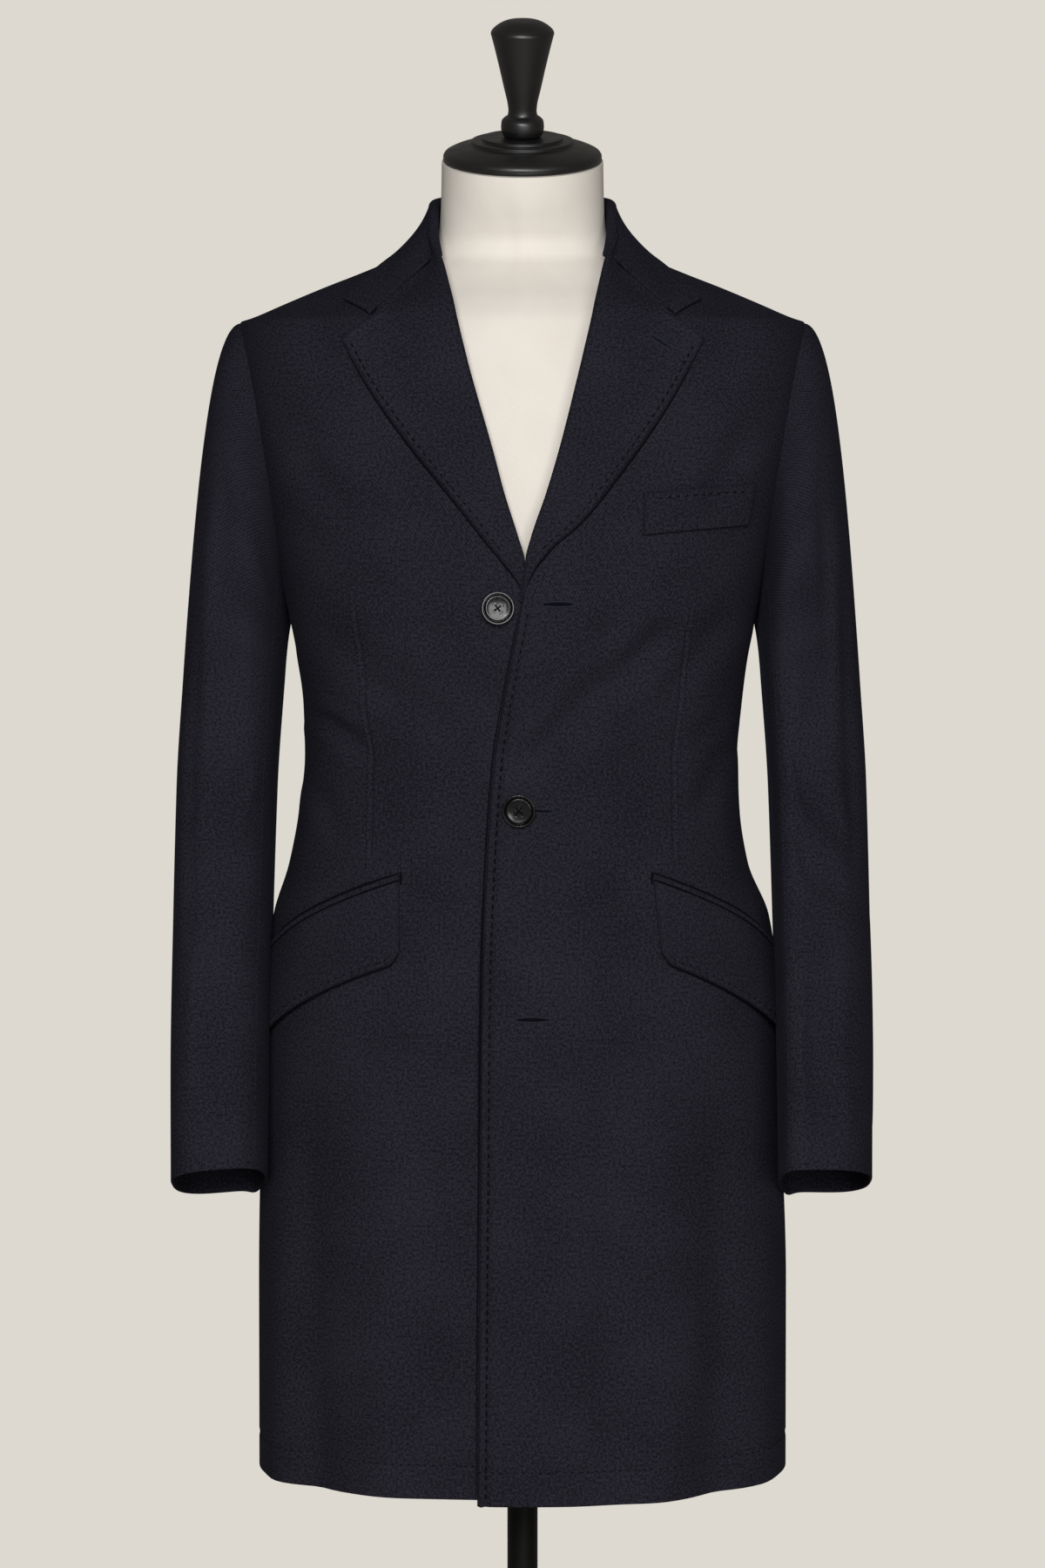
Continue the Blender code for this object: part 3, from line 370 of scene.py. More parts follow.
class CollarRow(NamedTuple):
    """A section of the collar: the fold's top, the stand's foot, and where the fall's edge lies."""

    fold_x: float
    fold_y: float
    fold_z: float
    foot_x: float
    foot_y: float
    foot_z: float
    edge_turn: float
    edge_height: float


COLLAR = (
    CollarRow(0.0642, -0.0405, 1.4850, 0.0670, -0.0370, 1.4800, -45.8, 1.4460),
    CollarRow(0.0676, -0.0210, 1.5040, 0.0680, -0.0190, 1.4910, -33.0, 1.4675),
    CollarRow(0.0680, -0.0010, 1.5180, 0.0705, 0.0000, 1.4958, -17.0, 1.4815),
    CollarRow(0.0680, 0.0230, 1.5265, 0.0735, 0.0220, 1.4958, 2.0, 1.4880),
    CollarRow(0.0610, 0.0490, 1.5315, 0.0660, 0.0470, 1.4956, 28.0, 1.4895),
    CollarRow(0.0375, 0.0705, 1.5345, 0.0400, 0.0685, 1.4956, 58.0, 1.4895),
    CollarRow(0.0000, 0.0785, 1.5350, 0.0000, 0.0770, 1.4956, 90.0, 1.4895),
)

FORM = (
    Section(0.800, 0.1400, 0.0780, 0.0900, 0.000, 2.30),
    Section(0.808, 0.1560, 0.0900, 0.1040, 0.000, 2.30),
    Section(0.835, 0.1700, 0.1000, 0.1140, 0.000, 2.30),
    Section(0.900, 0.1790, 0.1040, 0.1160, 0.000, 2.30),
    Section(0.960, 0.1750, 0.1030, 0.1110, 0.000, 2.30),
    Section(1.030, 0.1580, 0.1000, 0.0950, 0.000, 2.30),
    Section(1.105, 0.1490, 0.0990, 0.0830, 0.000, 2.30),
    Section(1.180, 0.1570, 0.1090, 0.0930, 0.000, 2.34),
    Section(1.240, 0.1680, 0.1190, 0.1050, 0.000, 2.38),
    Section(1.300, 0.1770, 0.1165, 0.1110, 0.002, 2.38),
    Section(1.360, 0.1880, 0.1070, 0.1070, 0.006, 2.30),
    Section(1.400, 0.1940, 0.0990, 0.0990, 0.009, 2.20),
    Section(1.420, 0.1920, 0.0950, 0.0920, 0.011, 2.14),
    Section(1.434, 0.1810, 0.0905, 0.0880, 0.012, 2.10),
    Section(1.4485, 0.1560, 0.0810, 0.0820, 0.014, 2.04),
    Section(1.4605, 0.1290, 0.0690, 0.0740, 0.015, 2.00),
    Section(1.4725, 0.1010, 0.0580, 0.0640, 0.016, 2.00),
    Section(1.4830, 0.0785, 0.0490, 0.0560, 0.016, 2.00),
    Section(1.4930, 0.0680, 0.0475, 0.0530, 0.015, 2.00),
    Section(1.5060, 0.0638, 0.0515, 0.0530, 0.012, 2.00),
    Section(1.5250, 0.0622, 0.0565, 0.0560, 0.008, 2.00),
    Section(1.5562, 0.0615, 0.0610, 0.0610, 0.002, 2.00),
)
NECK_TILT = math.radians(16.0)
NECK_TILT_FROM = 1.493
# Radius and height up the axis.
CAP_PROFILE = (
    (0.0000, 0.0000), (0.0588, 0.0000), (0.0604, 0.0014), (0.0604, 0.0040),
    (0.0592, 0.0066), (0.0540, 0.0096), (0.0470, 0.0121), (0.0400, 0.0136),
    (0.0392, 0.0142), (0.0392, 0.0155), (0.0384, 0.0162), (0.0318, 0.0164),
    (0.0311, 0.0170), (0.0311, 0.0180), (0.0304, 0.0186), (0.0000, 0.0186),
)
FINIAL_PROFILE = (
    (0.0000, 0.0000), (0.0128, 0.0000), (0.0154, 0.0024), (0.0164, 0.0070),
    (0.0160, 0.0118), (0.0140, 0.0145), (0.0114, 0.0165), (0.0108, 0.0200),
    (0.0113, 0.0250), (0.0143, 0.0380), (0.0171, 0.0505), (0.0203, 0.0640),
    (0.0234, 0.0762), (0.0240, 0.0786), (0.0235, 0.0805), (0.0190, 0.0848),
    (0.0110, 0.0884), (0.0000, 0.0896),
)
POLE_RADIUS = 0.0117
BASE_PROFILE = (
    (0.0000, 0.0000), (0.1960, 0.0000), (0.2000, 0.0030), (0.2000, 0.0120),
    (0.1950, 0.0165), (0.1500, 0.0200), (0.0600, 0.0230), (0.0300, 0.0260),
    (0.0260, 0.0300), (0.0000, 0.0300),
)


class Curve:
    """A smooth curve through knots that never overshoots them."""

    def __init__(self, knots: Sequence[float], values: Sequence[float]) -> None:
        """Works out the slope at each knot.

        Args:
            knots: where the curve is known, rising.
            values: what it is there.
        """
        self.knots = np.asarray(knots, float)
        self.values = np.asarray(values, float)
        gaps = np.diff(self.knots)
        slopes = np.diff(self.values) / gaps
        tangents = np.zeros(len(self.knots))
        tangents[[0, -1]] = slopes[[0, -1]]
        for i in range(1, len(tangents) - 1):
            if slopes[i - 1] * slopes[i] > 0:
                first = 2 * gaps[i] + gaps[i - 1]
                second = gaps[i] + 2 * gaps[i - 1]
                tangents[i] = (first + second) / (first / slopes[i - 1] + second / slopes[i])
        self.tangents = tangents

    def __call__(self, at: Number) -> Array:
        """The curve's value at one place or many."""
        at = np.clip(at, self.knots[0], self.knots[-1])
        i = np.clip(np.searchsorted(self.knots, at, side="right") - 1, 0, len(self.knots) - 2)
        gap = self.knots[i + 1] - self.knots[i]
        t = (at - self.knots[i]) / gap
        return (
            self.values[i] * (1 + 2 * t) * (1 - t) ** 2
            + self.tangents[i] * gap * t * (1 - t) ** 2
            + self.values[i + 1] * t * t * (3 - 2 * t)
            + self.tangents[i + 1] * gap * t * t * (t - 1)
        )


def curves(at: Sequence[float], table: Sequence[tuple], names: Sequence[str]) -> dict[str, Curve]:
    """A curve for each named size of a table's rows."""
    return {name: Curve(at, [getattr(row, name) for row in table]) for name in names}


def line_of(line: Line) -> Curve:
    """A line on a front as a curve over height."""
    return Curve(*zip(*line))


def signed_power(value: Number, power: Number) -> Array:
    """The power of a number's size, with its sign kept."""
    return np.sign(value) * np.abs(value) ** power


def ease(value: Number, low: float, high: float) -> Array:
    """0 at low, 1 at high, smooth between."""
    t = np.clip((np.asarray(value, float) - low) / (high - low), 0.0, 1.0)
    return t * t * (3 - 2 * t)


def mix(a: Number, b: Number, t: Number) -> Array:
    """The value a share t of the way from a to b."""
    return a + (b - a) * t


def unit(vectors: Array) -> Array:
    """Vectors scaled to a length of 1."""
    return vectors / np.maximum(np.linalg.norm(vectors, axis=-1, keepdims=True), 1e-12)


def hump(distance: Array, middle: float, width: float) -> Array:
    """1 at a middle distance, falling away on both sides."""
    return np.exp(-(((distance - middle) / width) ** 2))


def run_along(points: Array, axis: int = 1) -> Array:
    """The distance along the rows (axis 1) or columns (axis 0) of a grid of points."""
    steps = np.linalg.norm(np.diff(points, axis=axis), axis=-1)
    start = np.zeros_like(np.take(steps, [0], axis=axis))
    return np.cumsum(np.concatenate([start, steps], axis=axis), axis=axis)


def tapered(radius: float, count: int, blunt: float = 0.0, power: float = 0.5) -> Array:
    """A thread's radii from end to end, thin at its ends unless they are blunt."""
    return radius * np.sin(np.linspace(blunt, math.pi - blunt, count)) ** power


def new_object(name: str, data: ID) -> Object:
    """Puts a mesh, a lamp or a camera into the scene."""
    made = bpy.data.objects.new(name, data)
    bpy.context.scene.collection.objects.link(made)
    return made


def linear(colour: str) -> tuple[float, float, float, float]:
    """Turns an sRGB hex colour into linear red, green, blue and alpha."""
    parts = [int(colour[i : i + 2], 16) / 255 for i in (1, 3, 5)]
    values = [c / 12.92 if c <= 0.04045 else ((c + 0.055) / 1.055) ** 2.4 for c in parts]
    return (*values, 1.0)


class Tube:
    """An upright surface through level sections: a turn round it and a height give a point."""

    def __init__(self, table: Sequence[Section], folds: Sequence[Fold] = ()) -> None:
        """Keeps a curve over height for each size.

        Args:
            table: the sections, from the lowest up.
            folds: soft folds that push the surface out.
        """
        self.sizes = curves([row.height for row in table], table, Section._fields[1:])
        self.folds = folds

    def push(self, turn: Array, height: Array) -> Array:
        """How far the folds push the surface out.

        Args:
            turn: turns round the surface.
            height: heights.

        Returns:
            The distance at each place.
        """
        pushed = np.zeros(np.broadcast(turn, height).shape)
        for fold in self.folds:
            away = np.degrees(turn) - fold.turn - fold.lean * (height - HEM)
            away = (away + 180.0) % 360.0 - 180.0
            share = 1.0 - ease(height, HEM + FOLD_FULL, fold.top)
            pushed = pushed + fold.depth * share * np.exp(-((away / fold.width) ** 2))
        return pushed

    def depth(self, off: Array, height: Array) -> Array:
        """The half depth in front of the ridge line (off below 0) or behind it."""
        return np.where(off < 0, self.sizes["front"](height), self.sizes["back"](height))

    def point(self, turn: Array, height: Array) -> Array:
        """The points at turns and heights.

        Args:
            turn: turns round the surface, 0 at +X and a quarter turn back at -Y.
            height: heights.

        Returns:
            The points.
        """
        wide = self.sizes["half_width"](height)
        square = self.sizes["square"](height)
        deep = self.depth(np.sin(turn), height)
        x = wide * signed_power(np.cos(turn), 2 / square)
        y = deep * signed_power(np.sin(turn), 2 / square)
        out_x = signed_power(x / wide, square - 1) / wide
        out_y = signed_power(y / deep, square - 1) / deep
        pushed = self.push(turn, height) / np.hypot(out_x, out_y)
        flat_y = y + self.sizes["ridge"](height) + out_y * pushed
        return np.stack(np.broadcast_arrays(x + out_x * pushed, flat_y, height), axis=-1)

    def normal(self, turn: Array, height: Array) -> Array:
        """The outward directions at turns and heights."""
        step = 0.008
        rise = 0.0015
        round_it = self.point(turn + step, height) - self.point(turn - step, height)
        up_it = self.point(turn, height + rise) - self.point(turn, height - rise)
        return unit(np.cross(round_it, up_it))

    def turn_at_x(self, x: Number, height: Array) -> Array:
        """The turns, on the front, of the points this far across."""
        share = np.clip(x / self.sizes["half_width"](height), -1.0, 1.0)
        return -np.arccos(signed_power(share, self.sizes["square"](height) / 2))

    def turn_at_y(self, y: Number, height: Array) -> Array:
        """The turns, on the +X side, of the points this far back."""
        off = y - self.sizes["ridge"](height)
        deep = self.depth(off, height)
        share = np.clip(off / deep, -1.0, 1.0)
        return np.arcsin(signed_power(share, self.sizes["square"](height) / 2))

    def off(self, turn: Array, height: Array, out: Number) -> Array:
        """The points moved out along the surface's own direction."""
        return self.point(turn, height) + self.normal(turn, height) * np.asarray(out)[..., None]

    def clear(self, points: Array, gap: float) -> Array:
        """Pushes points out until they are a gap off the surface.

        Args:
            points: the points to test.
            gap: the least distance they may have.

        Returns:
            The points, moved where they were too close.
        """
        for _ in range(3):
            height = points[..., 2]
            off = points[..., 1] - self.sizes["ridge"](height)
            deep = self.depth(off, height)
            power = self.sizes["square"](height) / 2
            across = signed_power(points[..., 0] / self.sizes["half_width"](height), power)
            turn = np.arctan2(signed_power(off / deep, power), across)
            normal = self.normal(turn, height)
            stands = ((points - self.point(turn, height)) * normal).sum(axis=-1)
            points = points + normal * np.maximum(gap - stands, 0.0)[..., None]
        return points


def pressed(creases: Sequence[Crease], across: Array, height: Array) -> Array:
    """How far creases move places on a panel out (above 0) or in.

    Args:
        creases: the panel's creases.
        across: each place's distance across, in the creases' own measure.
        height: each place's height.

    Returns:
        The distance for each place.
    """
    moved = np.zeros(np.broadcast(across, height).shape)
    for crease in creases:
        line = np.array(crease.line)
        lengths = np.linalg.norm(np.diff(line, axis=0), axis=1)
        nearest = np.full(moved.shape, 1e9)
        share = np.zeros(moved.shape)
        passed = 0.0
        for start, end, length in zip(line, line[1:], lengths):
            along = (across - start[0]) * (end[0] - start[0]) + (height - start[1]) * (end[1] - start[1])
            t = np.clip(along / length**2, 0.0, 1.0)
            gap = np.hypot(across - mix(start[0], end[0], t), height - mix(start[1], end[1], t))
            share = np.where(gap < nearest, (passed + t * length) / lengths.sum(), share)
            nearest = np.minimum(gap, nearest)
            passed += length
        taper = np.sqrt(np.clip(4 * share * (1 - share), 0.0, 1.0))
        off = nearest / crease.width
        trough = hump(off, 0.0, 1.0) - CREASE_LIP * hump(off, CREASE_LIP_OFF, CREASE_LIP_WIDE)
        moved = moved + CREASE_SET * crease.depth * taper * trough
    return moved


def strips(guides: Sequence[Array], shares: Sequence[Sequence[float]]) -> Array:
    """Fills the strips between guide lines with columns.

    Args:
        guides: the guide lines' values, one for each row.
        shares: for each strip, where its columns lie, from 0 at its first guide.

    Returns:
        A grid of values, a row for each of the guides' rows.
    """
    columns = [
        mix(low, high, share)
        for low, high, inside in zip(guides, guides[1:], shares)
        for share in inside
    ]
    return np.stack(columns + [guides[-1]], axis=-1)


def crowded(count: int, start: float = 0.0, end: float = 0.0) -> list[float]:
    """Even shares from 0 up to 1, with more close to an edge that is rounded.

    Args:
        count: the number of even steps.
        start: the length, in metres, if the start is an edge, else 0.
        end: the same for the end.

    Returns:
        The shares, without the last 1.
    """
    made = {i / count for i in range(count)}
    if start:
        made |= {gap / start for gap in EDGE_CROWD}
    if end:
        made |= {1 - gap / end for gap in EDGE_CROWD[1:]}
    return sorted(made)


@dataclass
class Cloth:
    """A piece of cloth: a grid of points on its outer face, closed into a shell with round edges."""

    name: str
    points: Array
    thick: Number
    side: Side = Side.LEFT
    edges: tuple[float, ...] = (EDGE_ROUND,) * 4  # first and last row, first and last column

    @property
    def normals(self) -> Array:
        """The outward direction at each point."""
        return unit(np.cross(np.gradient(self.points, axis=1), np.gradient(self.points, axis=0)))

    def run(self, axis: int) -> Array:
        """The distance along the rows (axis 1) or columns (axis 0) from the grid's start."""
        return run_along(self.points, axis)

    def fullness(self) -> Array:
        """The share of its thickness that the cloth has at each point: none on its edges."""
        share = np.ones(self.points.shape[:2])
        for axis in (0, 1):
            run = self.run(axis)
            gaps = (run, np.take(run, [-1], axis=axis) - run)
            for gap, edge in zip(gaps, self.edges[2 * axis :]):
                share = share * np.sqrt(1 - (1 - np.clip(gap / edge, 0.0, 1.0)) ** 2)
        return share

    def world(self, points: Array) -> Array:
        """Points as they lie on the finished coat, mirrored for the right side."""
        return points * np.array((self.side.flip, 1.0, 1.0))

    def build(self) -> Object:
        """Closes the shell.

        Returns:
            The new object, with its grain as UV coordinates in metres.
        """
        rows, columns = self.points.shape[:2]
        half = (np.asarray(self.thick) / 2)[..., None]
        normals = self.normals
        middle = self.points - normals * half
        swell = normals * half * self.fullness()[..., None]
        number = np.arange(rows * columns).reshape(rows, columns)
        inner = number.copy()
        inner[1:-1, 1:-1] = rows * columns + np.arange((rows - 2) * (columns - 2)).reshape(rows - 2, -1)
        corners = [
            np.stack([n[:-1, :-1], n[:-1, 1:], n[1:, 1:], n[1:, :-1]], axis=-1).reshape(-1, 4)
            for n in (number, inner)
        ]
        faces = np.concatenate([corners[0], corners[1][:, ::-1]])
        if self.side is Side.RIGHT:
            faces = faces[:, ::-1]
        outer = self.world(middle + swell).reshape(-1, 3)
        inside = self.world(middle - swell)[1:-1, 1:-1].reshape(-1, 3)
        mesh = bpy.data.meshes.new(f"{self.name}_cloth")
        mesh.from_pydata(np.concatenate([outer, inside]).tolist(), [], faces.tolist())
        up = self.run(0)[:, columns // 2, None] + np.zeros((rows, columns))
        grain = np.stack([self.run(1), up], axis=-1)
        grain = np.concatenate([grain.reshape(-1, 2), grain[1:-1, 1:-1].reshape(-1, 2)])
        layer = mesh.uv_layers.new(name="grain")
        layer.uv.foreach_set("vector", grain[faces.ravel()].astype(np.float32).ravel())
        mesh.shade_smooth()
        return new_object(mesh.name, mesh)

    def sheet(self, held: str, *rests_on: str) -> Object:
        """Builds the piece and states the cut that it was sewn from.

        Args:
            held: how the cloth hangs or lies; not used.
            rests_on: the names of what it lies on or hangs from; not used.

        Returns:
            The new object.
        """
        piece = self.build()
        wide = float(self.run(1)[:, -1].max())
        tall = max(float(self.run(0)[-1].max()), LEAST_CUT)
        down = self.points[1:, 1:] - self.points[:-1, :-1]
        over = self.points[1:, :-1] - self.points[:-1, 1:]
        area = float(np.linalg.norm(np.cross(down, over), axis=-1).sum() / 2)
        area = min(max(area, LEAST_FILL * wide * tall), wide * tall)
        log.info("%s: cut %.0f x %.0f mm, %.4f m2", self.name, wide / MM, tall / MM, area)
        return piece


def fill(node: Node, inputs: dict) -> None:
    """Sets a node's inputs, or links those that a socket feeds."""
    for key, value in inputs.items():
        if isinstance(value, NodeSocket):
            node.id_data.links.new(value, node.inputs[key])
        else:
            node.inputs[key].default_value = value


def add_node(tree: NodeTree, kind: str, inputs: dict | None = None, **settings: object) -> Node:
    """Adds a node, sets it, and fills or links its inputs.

    Args:
        tree: the material's nodes.
        kind: Blender's name for the kind of node.
        inputs: each input's name or number, with its value or the socket that feeds it.
        settings: the node's own properties.

    Returns:
        The new node.
    """
    made = tree.nodes.new(kind)
    for name, value in settings.items():
        setattr(made, name, value)
    fill(made, inputs or {})
    return made


def new_material(name: str) -> tuple[Material, Add, Node]:
    """Starts a material.

    Args:
        name: the real material's name.

    Returns:
        The material, add_node for its own nodes, and its Principled shader.
    """
    material = bpy.data.materials.new(name)
    material.use_nodes = True
    tree = material.node_tree
    return material, partial(add_node, tree), tree.nodes["Principled BSDF"]


@dataclass(frozen=True)
class WoolCoating:
    """Worsted wool twill, milled and cropped: the coat's own cloth."""

    # The nap covers most of the twill, so the eye gets a matte, faintly grainy near-black blue
    # with a soft bloom where the light grazes it.
    name: str = "milled_wool_twill"
    dark: str = "#15151b"
    light: str = "#28272f"
    bloom: str = "#8a90a6"
    wale_mm: float = 2.4  # the real wale is 0.7 mm, and is drawn coarser so that it shows
    nap_mm: float = 2.0  # coarser than the real 0.5 mm, so that it shows
    cloud_mm: float = 70.0
    roughness: float = 0.70
    sheen: float = 0.03
    relief: float = 0.40
    wale_share: float = 0.10
    cloud_share: float = 0.30

    def material(self) -> Material:
        """Makes the wool from its grain coordinates."""
        material, add, shader = new_material(self.name)
        grain = add("ShaderNodeUVMap", uv_map="grain").outputs["UV"]
        fine = {"Vector": grain, "Scale": 1 / (self.nap_mm * MM), "Detail": 1.0}
        nap = add("ShaderNodeTexNoise", fine).outputs["Fac"]
        broad = {"Vector": grain, "Scale": 1 / (self.cloud_mm * MM), "Detail": 2.0}
        cloud = add("ShaderNodeTexNoise", broad).outputs["Fac"]
        turns = 2 * math.pi / (self.wale_mm * MM)
        slanted = {0: grain, 1: (turns, turns, 0.0)}
        slant = add("ShaderNodeVectorMath", slanted, operation="DOT_PRODUCT").outputs["Value"]
        wale = add("ShaderNodeMath", {0: slant}, operation="SINE").outputs["Value"]
        ribbed = {0: wale, 1: self.wale_share, 2: nap}
        twill = add("ShaderNodeMath", ribbed, operation="MULTIPLY_ADD").outputs["Value"]
        clouded = {0: cloud, 1: self.cloud_share, 2: twill}
        tone = add("ShaderNodeMath", clouded, operation="MULTIPLY_ADD").outputs["Value"]
        spread = {"Value": tone, "From Min": 0.47, "From Max": 0.83}
        share = add("ShaderNodeMapRange", spread).outputs["Result"]
        dyed = {0: share, 6: linear(self.dark), 7: linear(self.light)}
        colour = add("ShaderNodeMix", dyed, data_type="RGBA").outputs[2]
        raised = {"Height": twill, "Strength": self.relief, "Distance": 0.35 * MM}
        relief = add("ShaderNodeBump", raised).outputs["Normal"]
        finish = {
            "Base Color": colour,
            "Normal": relief,
            "Roughness": self.roughness,
            "IOR": 1.54,
            "Specular IOR Level": 0.0,
            "Sheen Weight": self.sheen,
            "Sheen Roughness": 0.45,
            "Sheen Tint": linear(self.bloom),
        }
        fill(shader, finish)
        return material


@dataclass(frozen=True)
class SilkThread:
    """Twisted silk buttonhole thread, dyed to the cloth."""

    # Darker than the wool and dull: partly the thread's own dye, partly painted shade of the pit that each
    # stitch pulls in. The same material also draws the painted shadows under edges, in buttonhole slits and
    # along the pocket jets.
    name: str = "silk_thread_and_painted_shade"
    dark: str = "#08080c"
    light: str = "#121218"
    twist_mm: float = 0.5
    roughness: float = 0.65

    def material(self) -> Material:
        """Makes the thread, with the light and dark of its twist."""
        material, add, shader = new_material(self.name)
        place = add("ShaderNodeTexCoord").outputs["Object"]
        plied = {"Vector": place, "Scale": 1 / (self.twist_mm * MM), "Detail": 1.0}
        twist = add("ShaderNodeTexNoise", plied).outputs["Fac"]
        dyed = {0: twist, 6: linear(self.dark), 7: linear(self.light)}
        colour = add("ShaderNodeMix", dyed, data_type="RGBA").outputs[2]
        raised = {"Height": twist, "Strength": 0.4, "Distance": 0.1 * MM}
        relief = add("ShaderNodeBump", raised).outputs["Normal"]
        finish = {"Base Color": colour, "Normal": relief, "Roughness": self.roughness}
        fill(shader, finish | {"Specular IOR Level": 0.0})
        return material


@dataclass(frozen=True)
class BuffaloHorn:
    """Dark horn, turned, drilled and polished."""

    # Near-black with faint paler streaks, and a polish that draws a bright line on the rim.
    name: str = "polished_dark_horn"
    dark: str = "#0e0e0f"
    streak: str = "#26262a"
    streak_mm: float = 9.0
    roughness: float = 0.15
    gloss: float = 0.36

    def material(self) -> Material:
        """Makes the horn with its streaks."""
        material, add, shader = new_material(self.name)
        place = add("ShaderNodeTexCoord").outputs["Object"]
        drawn = {"Vector": place, "Scale": (1.0, 3.5, 1.0), "Rotation": (0, 0, 0.6)}
        along = add("ShaderNodeMapping", drawn).outputs["Vector"]
        grown = {"Vector": along, "Scale": 1 / (self.streak_mm * MM), "Detail": 4.0, "Distortion": 0.6}
        streaks = add("ShaderNodeTexNoise", grown).outputs["Fac"]
        spread = {"Value": streaks, "From Min": 0.50, "From Max": 0.85}
        share = add("ShaderNodeMapRange", spread).outputs["Result"]
        mottled = {0: share, 6: linear(self.dark), 7: linear(self.streak)}
        colour = add("ShaderNodeMix", mottled, data_type="RGBA").outputs[2]
        finish = {"Base Color": colour, "Roughness": self.roughness, "IOR": 1.54}
        fill(shader, finish | {"Specular IOR Level": self.gloss})
        return material


@dataclass(frozen=True)
class CreamCotton:
    """Close plain-woven cotton, stretched over the padded form."""

    # Warm off-white with a fine even thread grid and no shine.
    name: str = "cream_cotton_cover"
    pale: str = "#dfdad2"
    deep: str = "#d4ccc2"
    thread_mm: float = 1.6  # the real thread is 0.5 mm, and is drawn coarser so that it shows
    cloud_mm: float = 55.0
    thread_share: float = 0.12
    roughness: float = 0.88

    def material(self) -> Material:
        """Makes the cover, with its thread grid."""
        material, add, shader = new_material(self.name)
        grain = add("ShaderNodeUVMap", uv_map="grain").outputs["UV"]
        turns = 2 * math.pi / (self.thread_mm * MM)
        waves = []
        for axis in ((turns, 0.0, 0.0), (0.0, turns, 0.0)):
            run = add("ShaderNodeVectorMath", {0: grain, 1: axis}, operation="DOT_PRODUCT").outputs["Value"]
            waves.append(add("ShaderNodeMath", {0: run}, operation="SINE").outputs["Value"])
        crossed = {0: waves[0], 1: waves[1]}
        threads = add("ShaderNodeMath", crossed, operation="MULTIPLY").outputs["Value"]
        broad = {"Vector": grain, "Scale": 1 / (self.cloud_mm * MM), "Detail": 3.0}
        cloud = add("ShaderNodeTexNoise", broad).outputs["Fac"]
        woven = {0: threads, 1: self.thread_share, 2: cloud}
        tone = add("ShaderNodeMath", woven, operation="MULTIPLY_ADD").outputs["Value"]
        dyed = {0: tone, 6: linear(self.deep), 7: linear(self.pale)}
        colour = add("ShaderNodeMix", dyed, data_type="RGBA").outputs[2]
        raised = {"Height": threads, "Strength": 0.15, "Distance": 0.2 * MM}
        relief = add("ShaderNodeBump", raised).outputs["Normal"]
        finish = {"Base Color": colour, "Normal": relief, "Roughness": self.roughness}
        fill(shader, finish | {"Specular IOR Level": 0.2})
        return material


@dataclass(frozen=True)
class TurnedCoat:
    """A black coat on a turned or drawn piece: lacquer on wood, or paint on steel."""

    # Deep black with a satin skin: broad soft highlights, and faint rings left by the lathe.
    name: str
    colour: str
    worn: str
    ring_mm: float
    roughness: float
    gloss: float

    def material(self) -> Material:
        """Makes the coat, with rings that ruffle its gloss."""
        material, add, shader = new_material(self.name)
        place = add("ShaderNodeTexCoord").outputs["Object"]
        squeezed = {"Vector": place, "Scale": (0.15, 0.15, 1.0)}
        level = add("ShaderNodeMapping", squeezed).outputs["Vector"]
        cut = {"Vector": level, "Scale": 1 / (self.ring_mm * MM), "Detail": 3.0}
        rings = add("ShaderNodeTexNoise", cut).outputs["Fac"]
        ruffled = {
            "Value": rings,
            "From Min": 0.3,
            "From Max": 0.7,
            "To Min": self.roughness - 0.05,
            "To Max": self.roughness + 0.06,
        }
        rough = add("ShaderNodeMapRange", ruffled).outputs["Result"]
        rubbed = {0: rings, 6: linear(self.colour), 7: linear(self.worn)}
        colour = add("ShaderNodeMix", rubbed, data_type="RGBA").outputs[2]
        raised = {"Height": rings, "Strength": 0.06, "Distance": 0.2 * MM}
        relief = add("ShaderNodeBump", raised).outputs["Normal"]
        finish = {"Base Color": colour, "Normal": relief, "Roughness": rough, "IOR": 1.50}
        fill(shader, finish | {"Specular IOR Level": self.gloss})
        return material


